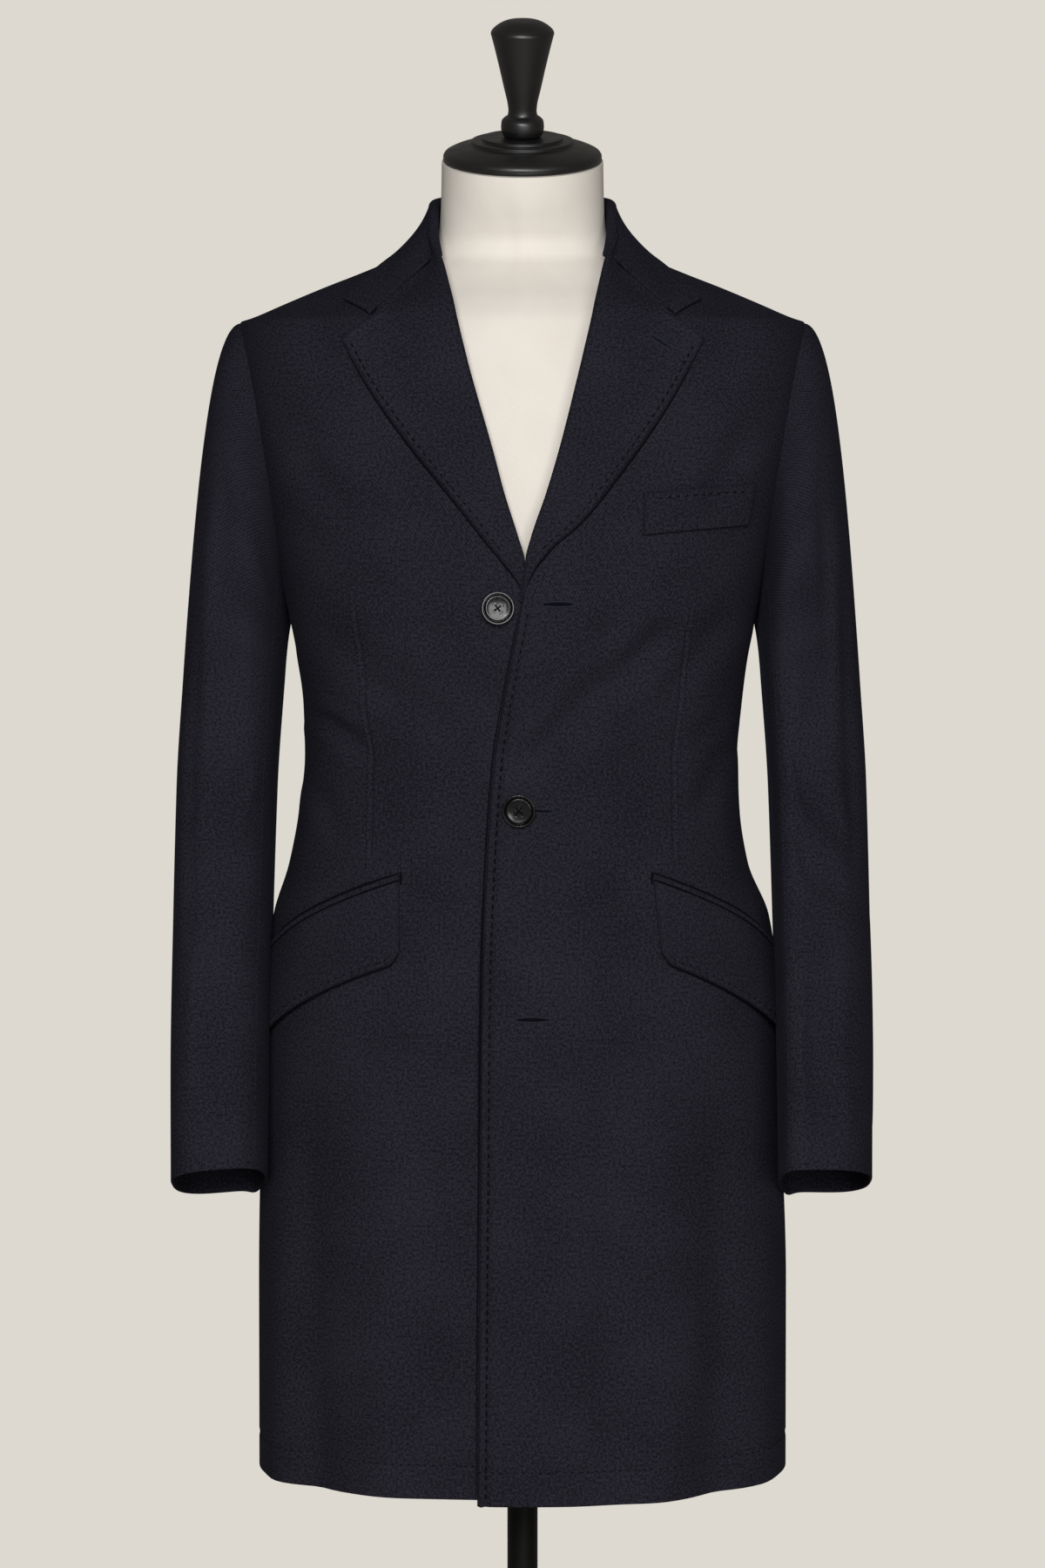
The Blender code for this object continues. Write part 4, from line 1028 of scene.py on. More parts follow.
class Draft:
    """The lines and surfaces that the coat's pieces are cut to."""

    def __init__(self) -> None:
        """Draws the surfaces of both sides and the lines on them."""
        mirrored = [fold._replace(turn=180.0 - fold.turn, lean=-fold.lean) for fold in FOLDS]
        self.body = {
            side: Tube(self.sections(side), folds)
            for side, folds in ((Side.LEFT, FOLDS), (Side.RIGHT, mirrored))
        }
        self.edge, self.roll, self.lapel_edge = (
            {side: line_of(lines[side]) for side in Side} for lines in (EDGE, ROLL, LAPEL_EDGE)
        )
        self.lapel_stand = line_of(LAPEL_STAND)
        self.dart = line_of(DART)

    @staticmethod
    def sections(side: Side) -> list[Section]:
        """The coat's sections, with one side's own hip."""
        heights, swells = zip(*HIP_SWELL[side])
        return [
            row._replace(half_width=row.half_width + float(np.interp(row.height, heights, swells)))
            for row in COAT
        ]

    def gorge(self, height: Array) -> Array:
        """How far across the lapel's top edge is at a height."""
        return np.interp(height, *zip(*GORGE))

    def lift(self, x: Array, height: Array) -> Array:
        """How far the left front lies out over the right one.

        Args:
            x: distances across from the centre.
            height: heights.

        Returns:
            The distance at each place.
        """
        across = 1.0 - ease(x, LIFT_FULL_X, LIFT_NONE_X)
        upward = 1.0 - ease(height, LIFT_FULL_Z, LIFT_NONE_Z)
        away = np.hypot(x + BUTTON_BOTTOM[0], height - BUTTON_BOTTOM[1])
        button = LIFT_BUTTON * (1.0 - ease(away, LIFT_BUTTON_NEAR, LIFT_BUTTON_FAR))
        return across * upward * (LIFT + button)

    def stand_out(self, height: Array) -> Array:
        """How far the lapel's fold stands off the chest."""
        return (LAY + DOUBLE + self.lapel_stand(height)) * ease(height, FOLD_FROM, FOLD_TO)

    def fold_half(self, height: Array) -> Array:
        """How deep the lapel's rolled fold is, seen from the front."""
        return np.minimum(self.stand_out(height) / 2, ROLL_HALF) * ease(height, LAPEL_FOOT, BREAK)

    def front_start(self, side: Side, height: Array) -> Array:
        """How far across a front starts: at its edge, or inside the lapel's fold."""
        edge = np.where(height < BREAK, self.edge[side](height), self.roll[side](height))
        return edge + self.fold_half(height)

    def seam_y(self, height: Array, face: Number) -> Array:
        """Where a front or a back ends at the side: seam, armhole or shoulder.

        Args:
            height: heights.
            face: -1 for a front, 1 for a back.

        Returns:
            How far back the end lies.
        """
        ridge = self.body[Side.LEFT].sizes["ridge"](height)
        share = np.clip((height - ARMPIT) / (SHOULDER - ARMPIT), 0.0, 1.0)
        deep = np.where(np.asarray(face) < 0, ARMHOLE_FRONT, ARMHOLE_BACK)
        egg = np.sqrt(4 * share * (1 - share)) * (1 + ARMHOLE_EGG * (0.5 - share))
        return mix(SIDE_SEAM_Y, ridge, share) + face * (SEAM / 2 + deep * egg)

    def skin(self, side: Side, turn: Array, height: Array, out: Number = 0.0) -> Array:
        """A front's own surface, with its lift, its creases and the dip of its hem.

        Args:
            side: which front.
            turn: turns round the body.
            height: heights.
            out: how far off the surface.

        Returns:
            The points.
        """
        body = self.body[side]
        x = body.point(turn, height)[..., 0]
        out = out + pressed(FRONT_CREASES[side], x, height)
        if side is Side.LEFT:
            out = out + self.lift(x, height)
        points = body.off(turn, height, out)
        low = 1.0 - ease(height, HEM, HEM + HEM_DIP_REACH)
        dip = HEM_DIP[side] * np.maximum(0.0, -np.sin(turn)) ** 2 * low
        points[..., 2] -= dip
        return points

    def on_front(self, side: Side, x: Array, height: Array, out: Number = 0.0) -> Array:
        """Points on a front's surface, this far across and up, and this far off it."""
        return self.skin(side, self.body[side].turn_at_x(x, height), height, out)


class Slot(Enum):
    """The material slots."""

    COATING = "coating"
    HORN = "button_horn"
    COVER = "form_cloth"
    WOOD = "lacquered_wood"
    STAND = "painted_stand"


def settle(piece: Object, material: Material, slot: Slot, *nodes: str) -> Object:
    """Gives a piece its material, makes it ride, and hides the solids that it stands for.

    Args:
        piece: the new object.
        material: its finish.
        slot: the slot for that finish; not used.
        nodes: the solids that it replaces.

    Returns:
        The same object.
    """
    piece.data.materials.append(material)
    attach(piece, "root")
    if nodes:
        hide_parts(*nodes)
    log.info("%s: %d faces", piece.name, len(piece.data.polygons))
    return piece


def mesh_piece(name: str, points: Array, faces: Sequence[Sequence[int]]) -> Object:
    """Makes a smooth piece with its faces turned outwards.

    Args:
        name: the piece's name.
        points: its corners.
        faces: the numbers of each face's corners.

    Returns:
        The new object.
    """
    mesh = bpy.data.meshes.new(name)
    mesh.from_pydata(np.asarray(points).reshape(-1, 3).tolist(), [], [list(face) for face in faces])
    bm = bmesh.new()
    bm.from_mesh(mesh)
    bmesh.ops.remove_doubles(bm, verts=bm.verts, dist=MERGE)
    bmesh.ops.recalc_face_normals(bm, faces=bm.faces)
    bm.to_mesh(mesh)
    bm.free()
    mesh.shade_smooth()
    return new_object(name, mesh)


def laid(place: Place, flat: Array, off: float) -> tuple[Array, Array]:
    """Lays flat places on a surface.

    Args:
        place: gives points of the surface from across, height and distance off it.
        flat: across and height of each place.
        off: how far off the surface they lie.

    Returns:
        The points, and the way out of the surface at each.
    """
    across, height = flat.T
    out = unit(place(across, height, PROBE) - place(across, height, 0.0))
    return place(across, height, off), out


class Rope(NamedTuple):
    """A length of thread: its path, the way out of the cloth along it, and its radii."""

    path: Array
    out: Array
    radius: Array
    closed: bool = False


@dataclass
class Needlework:
    """Hand stitches and worked buttonholes in silk thread, and dark threads that paint the shadow under
    edges and inside buttonhole slits.
    """

    # Its dark is partly painted shade: the stitches' pits, and the shadows under edges, in slits and along
    # jets.
    thread: Material
    twist: Material
    sides: int = 6
    length: float = 0.0042
    radius: float = 0.0009
    pitch: float = 0.0070
    dimple: float = 0.0008
    sunk: float = 0.45
    hole_half: float = 0.0018
    hole_radius: float = 0.00055
    loop: float = 0.0011
    loop_points: int = 4
    loop_swell: float = 0.25
    ring_off: float = 0.0001
    ring_fine: int = 20
    ring_square: Spot = (0.3, 0.6)  # less is squarer, along the slit and across it
    bar_half: float = 0.0023
    bar_points: int = 9
    bar_off: float = 0.0002
    # A dark thread along the slit paints the shade inside it.
    slit_shadow_span: Spot = (0.02, 0.96)
    slit_shadow_points: int = 25
    slit_shadow_taper: float = 0.6
    # The dark thread that paints the shadow under an edge.
    edge_shadow_sunk: float = 0.0009
    edge_shadow_radius: float = 0.0010
    hem_pitch: float = 0.0060
    hem_size: float = 0.7
    hem_clear: int = 3  # columns without stitches at the ends of a hem

    def sew(self, name: str, ropes: Sequence[Rope], silk: Material | None = None) -> Object:
        """Joins lengths of thread into one piece that rides on the coat.

        Args:
            name: the piece's name.
            ropes: the lengths of thread.
            silk: the thread, or none for the one that stitches are sewn in.

        Returns:
            The new piece.
        """
        angles = np.arange(self.sides) * 2 * math.pi / self.sides
        points: list[Array] = []
        faces: list[Array] = []
        count = 0
        for rope in ropes:
            path = rope.path
            if rope.closed:
                along = np.roll(path, -1, axis=0) - np.roll(path, 1, axis=0)
            else:
                along = np.gradient(path, axis=0)
            across = unit(np.cross(rope.out, unit(along)))
            up = unit(np.cross(unit(along), across))
            spokes = across[:, None] * np.cos(angles)[:, None] + up[:, None] * np.sin(angles)[:, None]
            points.append((path[:, None] + spokes * rope.radius[:, None, None]).reshape(-1, 3))
            number = count + np.arange(len(path) * self.sides).reshape(len(path), self.sides)
            ahead = np.roll(number, -1, axis=0) if rope.closed else number[1:]
            here = number if rope.closed else number[:-1]
            quads = [here, np.roll(here, -1, axis=1), np.roll(ahead, -1, axis=1), ahead]
            faces.append(np.stack(quads, axis=-1).reshape(-1, 4))
            count += number.size
        piece = mesh_piece(name, np.concatenate(points), np.concatenate(faces).tolist())
        return settle(piece, silk or self.thread, Slot.COATING)

    def stitches(
        self, cloth: Cloth, line: Array, normals: Array, pitch: float = 0.0, size: float = 1.0
    ) -> list[Rope]:
        """Short stitches at even steps along a line on a cloth.

        Args:
            cloth: the cloth that is sewn.
            line: the points of the line.
            normals: the outward directions there.
            pitch: the distance from stitch to stitch, or 0 for the usual one.
            size: how large the stitches are, as a share of the usual ones.

        Returns:
            A length of thread for each stitch.
        """
        line, normals = cloth.world(line), cloth.world(normals)
        pitch = pitch or self.pitch
        run = run_along(line, 0)
        at = np.arange(pitch / 2, run[-1], pitch)
        slope = np.gradient(line, run, axis=0)
        place, out, along = (
            np.stack([np.interp(at, run, values[:, i]) for i in range(3)], axis=-1)
            for values in (line, normals, slope)
        )
        along, out = unit(along), unit(out)
        # Along a stitch, and how thick it is there.
        beads = np.array(((-0.5, 0.0), (-0.42, 0.6), (-0.2, 1.0), (0.2, 1.0), (0.42, 0.6), (0.5, 0.0)))
        return [
            Rope(
                spot + size * (way * beads[:, :1] * self.length - up * self.sunk * self.radius),
                np.repeat(up[None], len(beads), axis=0),
                size * self.radius * beads[:, 1],
            )
            for spot, way, up in zip(place, along, out)
        ]

    def hem(self, cloth: Cloth, rows: Array) -> list[Rope]:
        """The stitches along a panel's hem.

        Args:
            cloth: the panel.
            rows: the heights of its rows.

        Returns:
            A length of thread for each stitch.
        """
        row = int(np.argmin(np.abs(rows - HEM - HEM_STITCH)))
        sewn = (row, slice(self.hem_clear, -self.hem_clear))
        return self.stitches(cloth, cloth.points[sewn], cloth.normals[sewn], self.hem_pitch, self.hem_size)

    def shadow_under_edge(self, cloth: Cloth, line: Array, normals: Array, thick: float = 1.0) -> Rope:
        """A dark thread under an edge, which stands for the deep shadow there."""
        path = cloth.world(line - normals * self.edge_shadow_sunk * max(thick, 1.0))
        return Rope(path, cloth.world(normals), tapered(thick * self.edge_shadow_radius, len(path), BLUNT))

    def buttonhole(self, name: str, place: Place, start: Spot, end: Spot, slit: float) -> None:
        """A worked buttonhole: thread loops round a slit, a bar across its end, and a dark thread along the
        slit that paints the shade between its lips.

        Args:
            name: the buttonhole's name.
            place: gives points of the surface from across, height and distance off it.
            start: across and height of the slit's start.
            end: the same for its end, where the bar is.
            slit: half the height of the dark thread that paints the slit's shade.
        """
        first, last = np.array(start), np.array(end)
        length = float(np.linalg.norm(last - first))
        way = (last - first) / length
        side = np.array((-way[1], way[0]))
        count = int(2 * length / self.loop) * self.loop_points
        around = np.linspace(0, 2 * math.pi, self.ring_fine * count, endpoint=False)
        wide = signed_power(np.cos(around), self.ring_square[0]) * length / 2
        tall = signed_power(np.sin(around), self.ring_square[1]) * self.hole_half
        run = np.concatenate([[0.0], np.cumsum(np.hypot(np.diff(wide), np.diff(tall)))])
        at = np.linspace(0, run[-1], count, endpoint=False)
        ring = first + way * (length / 2 + np.interp(at, run, wide))[:, None]
        ring = ring + side * np.interp(at, run, tall)[:, None]
        turns = np.arange(count) * 2 * math.pi / self.loop_points
        loops = self.hole_radius * (1 + self.loop_swell * np.sin(turns))
        bar = last + side * np.linspace(-self.bar_half, self.bar_half, self.bar_points)[:, None]
        inside = first + way * (length * np.linspace(*self.slit_shadow_span, self.slit_shadow_points))[:, None]
        worked = [
            Rope(*laid(place, ring, self.ring_off), loops, True),
            Rope(*laid(place, bar, self.bar_off), tapered(self.hole_radius, self.bar_points)),
        ]
        self.sew(name, worked, self.twist)
        # The slit's painted shade: a dark thread along its middle.
        shadow_radii = tapered(slit, self.slit_shadow_points, power=self.slit_shadow_taper)
        self.sew(f"{name}_slit", [Rope(*laid(place, inside, self.bar_off), shadow_radii)])


def panel_rows(step: float) -> Array:
    """The rows of a body panel from hem to neck, closer where its edges turn.

    Args:
        step: the height from row to row.

    Returns:
        The heights.
    """
    crowd = np.array(EDGE_CROWD)
    even = np.arange(HEM + step, NECK - step / 2, step)
    around = np.linspace(0, math.pi, ARMHOLE_ROWS)
    armhole = ARMPIT + (SHOULDER - ARMPIT) * (1 - np.cos(around)) / 2
    rows = np.concatenate([HEM + crowd, even, armhole, NECK - crowd])
    return np.unique(np.round(rows, 5))


def pits(line: Array, sewn: Array, pitch: float) -> Array:
    """How much each row of a grid is pulled in by the stitches along a line.

    Args:
        line: the line's point on each row.
        sewn: which rows are sewn.
        pitch: the distance from stitch to stitch.

    Returns:
        A column of shares, 1 at a stitch.
    """
    run = run_along(line[None])[0]
    past = (run - run[sewn][0]) % pitch - pitch / 2
    return (hump(past, 0.0, PIT_LONG) * sewn)[:, None]


@dataclass
class SidePiece:
    """A piece that the coat has on each side, and what it is made with."""

    draft: Draft
    side: Side
    wool: Material
    needle: Needlework


@dataclass
class Front(SidePiece):
    """One front of the coat, with its dart, its pressed edge and its hem."""

    row_step: float = 0.0021
    edge_from: float = HEM + 0.004
    edge_to: float = BREAK - 0.030
    edge_bead: float = 0.0026
    bead_in: float = 0.0034
    bead_wide: float = 0.0020
    stitch_dip: float = 0.0021
    stitch_wide: float = 0.0016
    edge_turn: float = 0.0028
    turn_wide: float = 0.0017
    edge_shadow: float = 0.6
    stitch_lift: float = 0.0007
    dart_dip: float = 0.0013
    dart_wide: float = 0.0011
    dart_taper: float = 0.03
    dart_beside: int = 3  # columns from the dart to the stitches beside it
    dart_stitch_pitch: float = 0.0032
    dart_stitch_size: float = 0.5
    stitch_limit: float = 0.2
    dart_limits: Spot = (0.35, 0.85)  # the dart's column keeps to this part of the panel
    hem_dip: float = 0.0008
    hem_wide: float = 0.0016
    edge_steps: int = 3
    chest_steps: int = 24
    side_steps: int = 18
    side_wide: float = 0.075  # from dart to side seam
    # Extra columns, as shares of the strip that they lie in.
    past_stitch: tuple[float, ...] = (0.007, 0.014)
    before_dart: tuple[float, ...] = (0.975, 0.988, 0.994)
    past_dart: tuple[float, ...] = (0.008, 0.016, 0.030)

    def __post_init__(self) -> None:
        """Spaces the columns: in from the edge, on to the dart, and on to the side seam."""
        self.columns = (
            crowded(self.edge_steps, start=STITCH_IN),
            sorted({*crowded(self.chest_steps), *self.past_stitch, *self.before_dart}),
            sorted({*crowded(self.side_steps, end=self.side_wide), *self.past_dart}),
        )
        self.stitch = len(self.columns[0])
        self.dart = self.stitch + len(self.columns[1])

    @property
    def name(self) -> str:
        """The front's own name."""
        return f"front_{self.side.value}"

    def turns(self, height: Array) -> Array:
        """The turn of each column at each height.

        Args:
            height: the heights of the rows.

        Returns:
            A row of turns for each height.
        """
        body = self.draft.body[self.side]
        across = self.draft.front_start(self.side, height)
        start = body.turn_at_x(across, height)
        seam = body.turn_at_y(self.draft.seam_y(height, -1), height)
        span = seam - start
        stitch = body.turn_at_x(across + STITCH_IN, height)
        stitch = np.minimum(stitch, start + self.stitch_limit * span)
        dart = body.turn_at_x(self.draft.dart(height), height)
        low, high = self.dart_limits
        dart = np.clip(dart, start + low * span, start + high * span)
        return strips([start, stitch, dart, seam], self.columns)

    def relief(self, run: Array, height: Array) -> Array:
        """What pressing and sewing add: the edge's bead, the stitch lines and the dart.

        Args:
            run: each place's distance from the front's edge.
            height: its height.

        Returns:
            How far each place moves out.
        """
        open_front = 1.0 - ease(height, self.edge_to, BREAK)
        edge = self.edge_bead * hump(run, self.bead_in, self.bead_wide)
        edge = edge - self.stitch_dip * hump(run, STITCH_IN, self.stitch_wide)
        edge = edge - self.edge_turn * hump(run, 0.0, self.turn_wide)
        foot = ease(height, DART_FOOT, DART_FOOT + self.dart_taper)
        taper = foot * (1 - ease(height, DART_HEAD - self.dart_taper, DART_HEAD))
        dart = self.dart_dip * taper * hump(run - run[:, self.dart, None], 0.0, self.dart_wide)
        hem = self.hem_dip * hump(height, HEM + HEM_STITCH, self.hem_wide)
        shows = 1.0 if self.side is Side.LEFT else 0.0
        return shows * edge * open_front - dart - hem

    def build(self) -> None:
        """Builds the front and sews its stitches."""
        rows = panel_rows(self.row_step)
        turn = self.turns(rows)
        height = np.broadcast_to(rows[:, None], turn.shape)
        run = run_along(self.draft.body[self.side].point(turn, height))
        edge = (rows > self.edge_from) & (rows < self.edge_to)
        out = self.relief(run, height)
        if self.side is Side.LEFT:
            line = self.draft.skin(self.side, turn[:, self.stitch], rows)
            pulled = pits(line, edge, self.needle.pitch) * hump(run, STITCH_IN, PIT_WIDE)
            out = out - self.needle.dimple * pulled
        points = self.draft.skin(self.side, turn, height, out)
        edges = (EDGE_ROUND, EDGE_ROUND, EDGE_ROUND, SEAM_ROUND)
        cloth = Cloth(self.name, points, CLOTH, self.side, edges)
        settle(cloth.sheet("draped", "form_torso"), self.wool, Slot.COATING, self.name)
        normals = cloth.normals
        dart = (rows > DART_FOOT) & (rows < DART_HEAD)
        beside = self.dart + self.dart_beside
        line, out = points[dart, beside], normals[dart, beside]
        ropes = self.needle.stitches(cloth, line, out, self.dart_stitch_pitch, self.dart_stitch_size)
        ropes += self.needle.hem(cloth, rows)
        if self.side is Side.LEFT:
            line, out = points[edge, self.stitch], normals[edge, self.stitch]
            ropes += self.needle.stitches(cloth, line + out * self.stitch_lift, out)
            ropes.append(self.needle.shadow_under_edge(cloth, points[edge, 0], out, self.edge_shadow))
        self.needle.sew(f"stitches_{self.name}", ropes)


@dataclass
class Back(SidePiece):
    """One half of the back, from the side seam to the centre seam."""

    row_step: float = 0.0035
    columns: int = 44
    wide: float = 0.20
    hem_dip: float = 0.0008
    hem_wide: float = 0.0020
    seam_clear: float = 0.001
    seam_deep: float = 0.0010
    dark_thread_radius: float = 0.0008

    def build(self) -> None:
        """Builds the half, and sews its hem and its seams."""
        body = self.draft.body[self.side]
        rows = panel_rows(self.row_step)
        start = body.turn_at_y(self.draft.seam_y(rows, 1), rows)
        share = (SEAM / 2 / body.sizes["half_width"](rows)) ** (body.sizes["square"](rows) / 2)
        turn = strips([start, np.arccos(share)], [crowded(self.columns, self.wide, self.wide)])
        height = np.broadcast_to(rows[:, None], turn.shape)
        across = body.point(turn, height)[..., 0]
        out = pressed(BACK_CREASES[self.side], across, height)
        out = out - self.hem_dip * hump(height, HEM + HEM_STITCH, self.hem_wide)
        edges = (EDGE_ROUND, EDGE_ROUND, SEAM_ROUND, SEAM_ROUND)
        cloth = Cloth(f"back_{self.side.value}", body.off(turn, height, out), CLOTH, self.side, edges)
        settle(cloth.sheet("draped", "form_torso"), self.wool, Slot.COATING, cloth.name)
        ropes = self.needle.hem(cloth, rows)
        seams = {0: ARMPIT, -1: NECK} if self.side is Side.LEFT else {0: ARMPIT}
        for column, top in seams.items():
            sewn = (rows > HEM + self.seam_clear) & (rows < top - self.seam_clear)
            outward = cloth.normals[sewn, column]
            path = cloth.world(cloth.points[sewn, column] - self.seam_deep * outward)
            ropes.append(Rope(path, cloth.world(outward), np.full(len(path), self.dark_thread_radius)))
        self.needle.sew(f"stitches_{cloth.name}", ropes)


@dataclass
class Lapel(SidePiece):
    """A notch lapel: a rolled fold, and a face that settles on to the chest."""

    row_step: float = 0.0016
    row_gaps: Spot = (0.002, 0.0015)  # clear of the crowded rows at foot and top
    fold_steps: int = 10
    face_steps: int = 34
    edge_steps: int = 4
    fold_thick: float = 0.0010
    fold_off: float = 0.0003
    thick_limit: float = 0.6
    settle_over: float = 0.010  # the lapel has its full thickness this far from the fold
    edge_bead: float = 0.0020
    bead_in: float = 0.0040
    bead_wide: float = 0.0060
    edge_turn: float = 0.0036
    turn_wide: float = 0.0022
    edge_shadow: float = 2.0
    stitch_in: float = 0.0068
    stitch_limit: float = 0.4
    sewn_from: float = BREAK + 0.012
    sewn_to: float = GORGE_TIP - 0.004
    shadow_from: float = LAPEL_FOOT + 0.006
    narrow: Spot = (0.008, 0.020)  # a narrower lapel has no bead, a wider one a full one
    tuck: float = 0.005  # the gorge runs this far on, under the collar
    tuck_over: float = 0.010
    least: float = 0.004

    def outer(self, height: Array) -> Array:
        """How far across the lapel's free edge or its gorge is."""
        tucked = ease(height, GORGE_BEND, GORGE_BEND + self.tuck_over)
        gorge = self.draft.gorge(height) + self.tuck * tucked
        gorge = np.maximum(gorge, self.draft.front_start(self.side, height) + self.least)
        return np.where(height <= GORGE_TIP, self.draft.lapel_edge[self.side](height), gorge)

    def stands(self, across: Array, height: Array) -> Array:
        """How far the lapel's face lies off the front."""
        start = self.draft.front_start(self.side, height)
        share = np.clip((across - start) / np.maximum(self.outer(height) - start, 1e-4), 0.0, 1.0)
        stand = self.draft.lapel_stand(height) * (1 - share) ** LAPEL_SETTLE
        return (LAY + DOUBLE + stand) * ease(height, FOLD_FROM, FOLD_TO)

    def place(self, across: Array, height: Array, out: Number) -> Array:
        """Points on the lapel's face, this far across and up, and this far off it."""
        return self.draft.on_front(self.side, across, height, self.stands(across, height) + out)

    def build(self) -> None:
        """Builds the lapel and sews along its edge."""
        crowd = np.array(EDGE_CROWD)
        even = np.arange(LAPEL_FOOT + self.row_gaps[0], GORGE_TOP - self.row_gaps[1], self.row_step)
        corners = [GORGE_TIP, GORGE_BEND]
        rows = np.unique(np.concatenate([LAPEL_FOOT + crowd, even, corners, GORGE_TOP - crowd]))
        start = self.draft.front_start(self.side, rows)
        outer = self.outer(rows)
        stitch = outer - np.minimum(self.stitch_in, self.stitch_limit * (outer - start))
        shares = [crowded(self.face_steps), crowded(self.edge_steps, end=self.stitch_in)]
        face = strips([start, stitch, outer], shares)
        height = np.broadcast_to(rows[:, None], face.shape)
        stands = self.stands(face, height)
        gap = outer[:, None] - face
        bead = self.edge_bead * hump(gap, self.bead_in, self.bead_wide)
        bead = bead - self.edge_turn * hump(gap, 0.0, self.turn_wide)
        sewn = (rows > self.sewn_from) & (rows < self.sewn_to)
        line = self.draft.on_front(self.side, stitch, rows, stands[:, self.face_steps])
        pulled = pits(line, sewn, self.needle.pitch) * hump(gap, self.stitch_in, PIT_WIDE)
        bead = bead - self.needle.dimple * pulled
        wide = ease(outer - start, *self.narrow)[:, None]
        turning = np.linspace(-math.pi / 2, math.pi / 2, self.fold_steps, endpoint=False)
        half = self.draft.fold_half(rows)[:, None]
        full = self.draft.stand_out(rows)[:, None]
        fold_x = start[:, None] - half * np.cos(turning)
        fold_out = full / 2 * (1 + np.sin(turning)) + self.fold_off
        across = np.concatenate([fold_x, face], axis=1)
        out = np.concatenate([fold_out, stands + bead * wide], axis=1)
        height = np.broadcast_to(rows[:, None], across.shape)
        points = self.draft.on_front(self.side, across, height, out)
        settled = ease(np.maximum(across - start[:, None], 0.0), 0.0, self.settle_over)
        settled[:, : self.fold_steps] = 0.0
        thick = np.minimum(mix(self.fold_thick, DOUBLE, settled), self.thick_limit * full)
        cloth = Cloth(f"lapel_{self.side.value}", points, thick, self.side)
        settle(cloth.sheet("folded", f"front_{self.side.value}"), self.wool, Slot.COATING, cloth.name)
        column = self.fold_steps + self.face_steps
        ropes = self.needle.stitches(cloth, points[sewn, column], cloth.normals[sewn, column])
        free = (rows > self.shadow_from) & (rows < GORGE_TIP)
        line, out = points[free, -1], cloth.normals[free, -2]
        ropes.append(self.needle.shadow_under_edge(cloth, line, out, self.edge_shadow))
        self.needle.sew(f"stitches_{cloth.name}", ropes)


@dataclass
class Collar:
    """The collar: a stand round the neck that folds over into the fall."""

    draft: Draft
    wool: Material
    notch: Spot = (1.4350, 0.1125)  # height, and distance from the centre
    notch_share: float = 0.72
    notch_reach: float = 2.2
    crowd: float = 1.1
    stand_fold: float = 0.6
    fold_half: float = 0.0028
    fold_drop: float = 0.0040
    fall_bulge: float = -0.0015
    steps: int = 80
    stand_columns: int = 8
    fold_columns: int = 12
    fall_columns: int = 24
    stand_wide: float = 0.03
    fall_wide: float = 0.04
    free_from: float = NECK - 0.002  # above this the fall leaves the coat
    free_to: float = NECK + 0.010

    def middle(self) -> Array:
        """The middle of one half's wall, from the notch to the centre of the back.

        Returns:
            A row for each section, a column for each line from the stand's foot to the fall's edge.
        """
        body = self.draft.body[Side.LEFT]
        last = len(COLLAR) - 1
        half = DOUBLE / 2
        along = last * np.linspace(0.0, 1.0, self.steps) ** self.crowd
        along = np.unique(np.concatenate([along, np.array(EDGE_CROWD) / self.stand_wide]))
        sizes = curves(range(len(COLLAR)), COLLAR, CollarRow._fields)
        at = {name: curve(along) for name, curve in sizes.items()}
        fold = np.stack([at["fold_x"], at["fold_y"], at["fold_z"]], axis=-1)[:, None]
        foot = np.stack([at["foot_x"], at["foot_y"], at["foot_z"]], axis=-1)[:, None]
        turn = np.radians(at["edge_turn"])
        edge = body.off(turn, at["edge_height"], np.full(turn.shape, COLLAR_LAY + half))[:, None]
        flat = unit((edge - fold) * np.array((1.0, 1.0, 0.0)))
        up = np.array((0.0, 0.0, 1.0))
        drop = np.minimum(self.fold_drop, self.stand_fold * (fold - foot)[..., 2:])
        centre = fold - up * drop
        rising = np.array(crowded(self.stand_columns, start=self.stand_wide))[None, :, None]
        stand = mix(foot, centre - flat * self.fold_half, rising)
        turning = np.linspace(math.pi, 0.0, self.fold_columns, endpoint=False)[None, :, None]
        bend = centre + flat * self.fold_half * np.cos(turning) + up * drop * np.sin(turning)
        share = np.array(sorted({*crowded(self.fall_columns, end=self.fall_wide), self.notch_share, 1.0}))
        share = share[None, :, None]
        fall = mix(centre + flat * self.fold_half, edge, share)
        near = (1.0 - np.minimum(along / self.notch_reach, 1.0))[:, None, None] ** 2
        fall = fall + flat * self.fall_bulge * 4 * share * (1 - share) * (1 - near)
        level = np.array(self.notch[0])
        notch = body.off(body.turn_at_x(self.notch[1], level), level, np.array(COLLAR_LAY + half))
        fold_end, point_end = fold[0, 0], edge[0, 0]
        bent = np.where(
            share <= self.notch_share,
            mix(fold_end, notch, share / self.notch_share),
            mix(notch, point_end, (share - self.notch_share) / (1 - self.notch_share)),
        )
        fall = fall + (bent - mix(fold_end, point_end, share)) * near
        above = ease(fall[..., 2:], self.free_from, self.free_to)
        fall = mix(body.clear(fall, COLLAR_LAY + half), fall, above)
        return np.concatenate([stand, bend, fall], axis=1)

    def build(self) -> None:
        """Builds the whole collar, its right half mirrored from the left."""
        left = self.middle()
        right = left[-2::-1] * np.array((-1.0, 1.0, 1.0))
        cloth = Cloth("collar", np.concatenate([left, right]), DOUBLE)
        cloth.points = cloth.points + cloth.normals * (DOUBLE / 2)
        settle(cloth.sheet("folded", "back_left", "back_right"), self.wool, Slot.COATING, "collar")


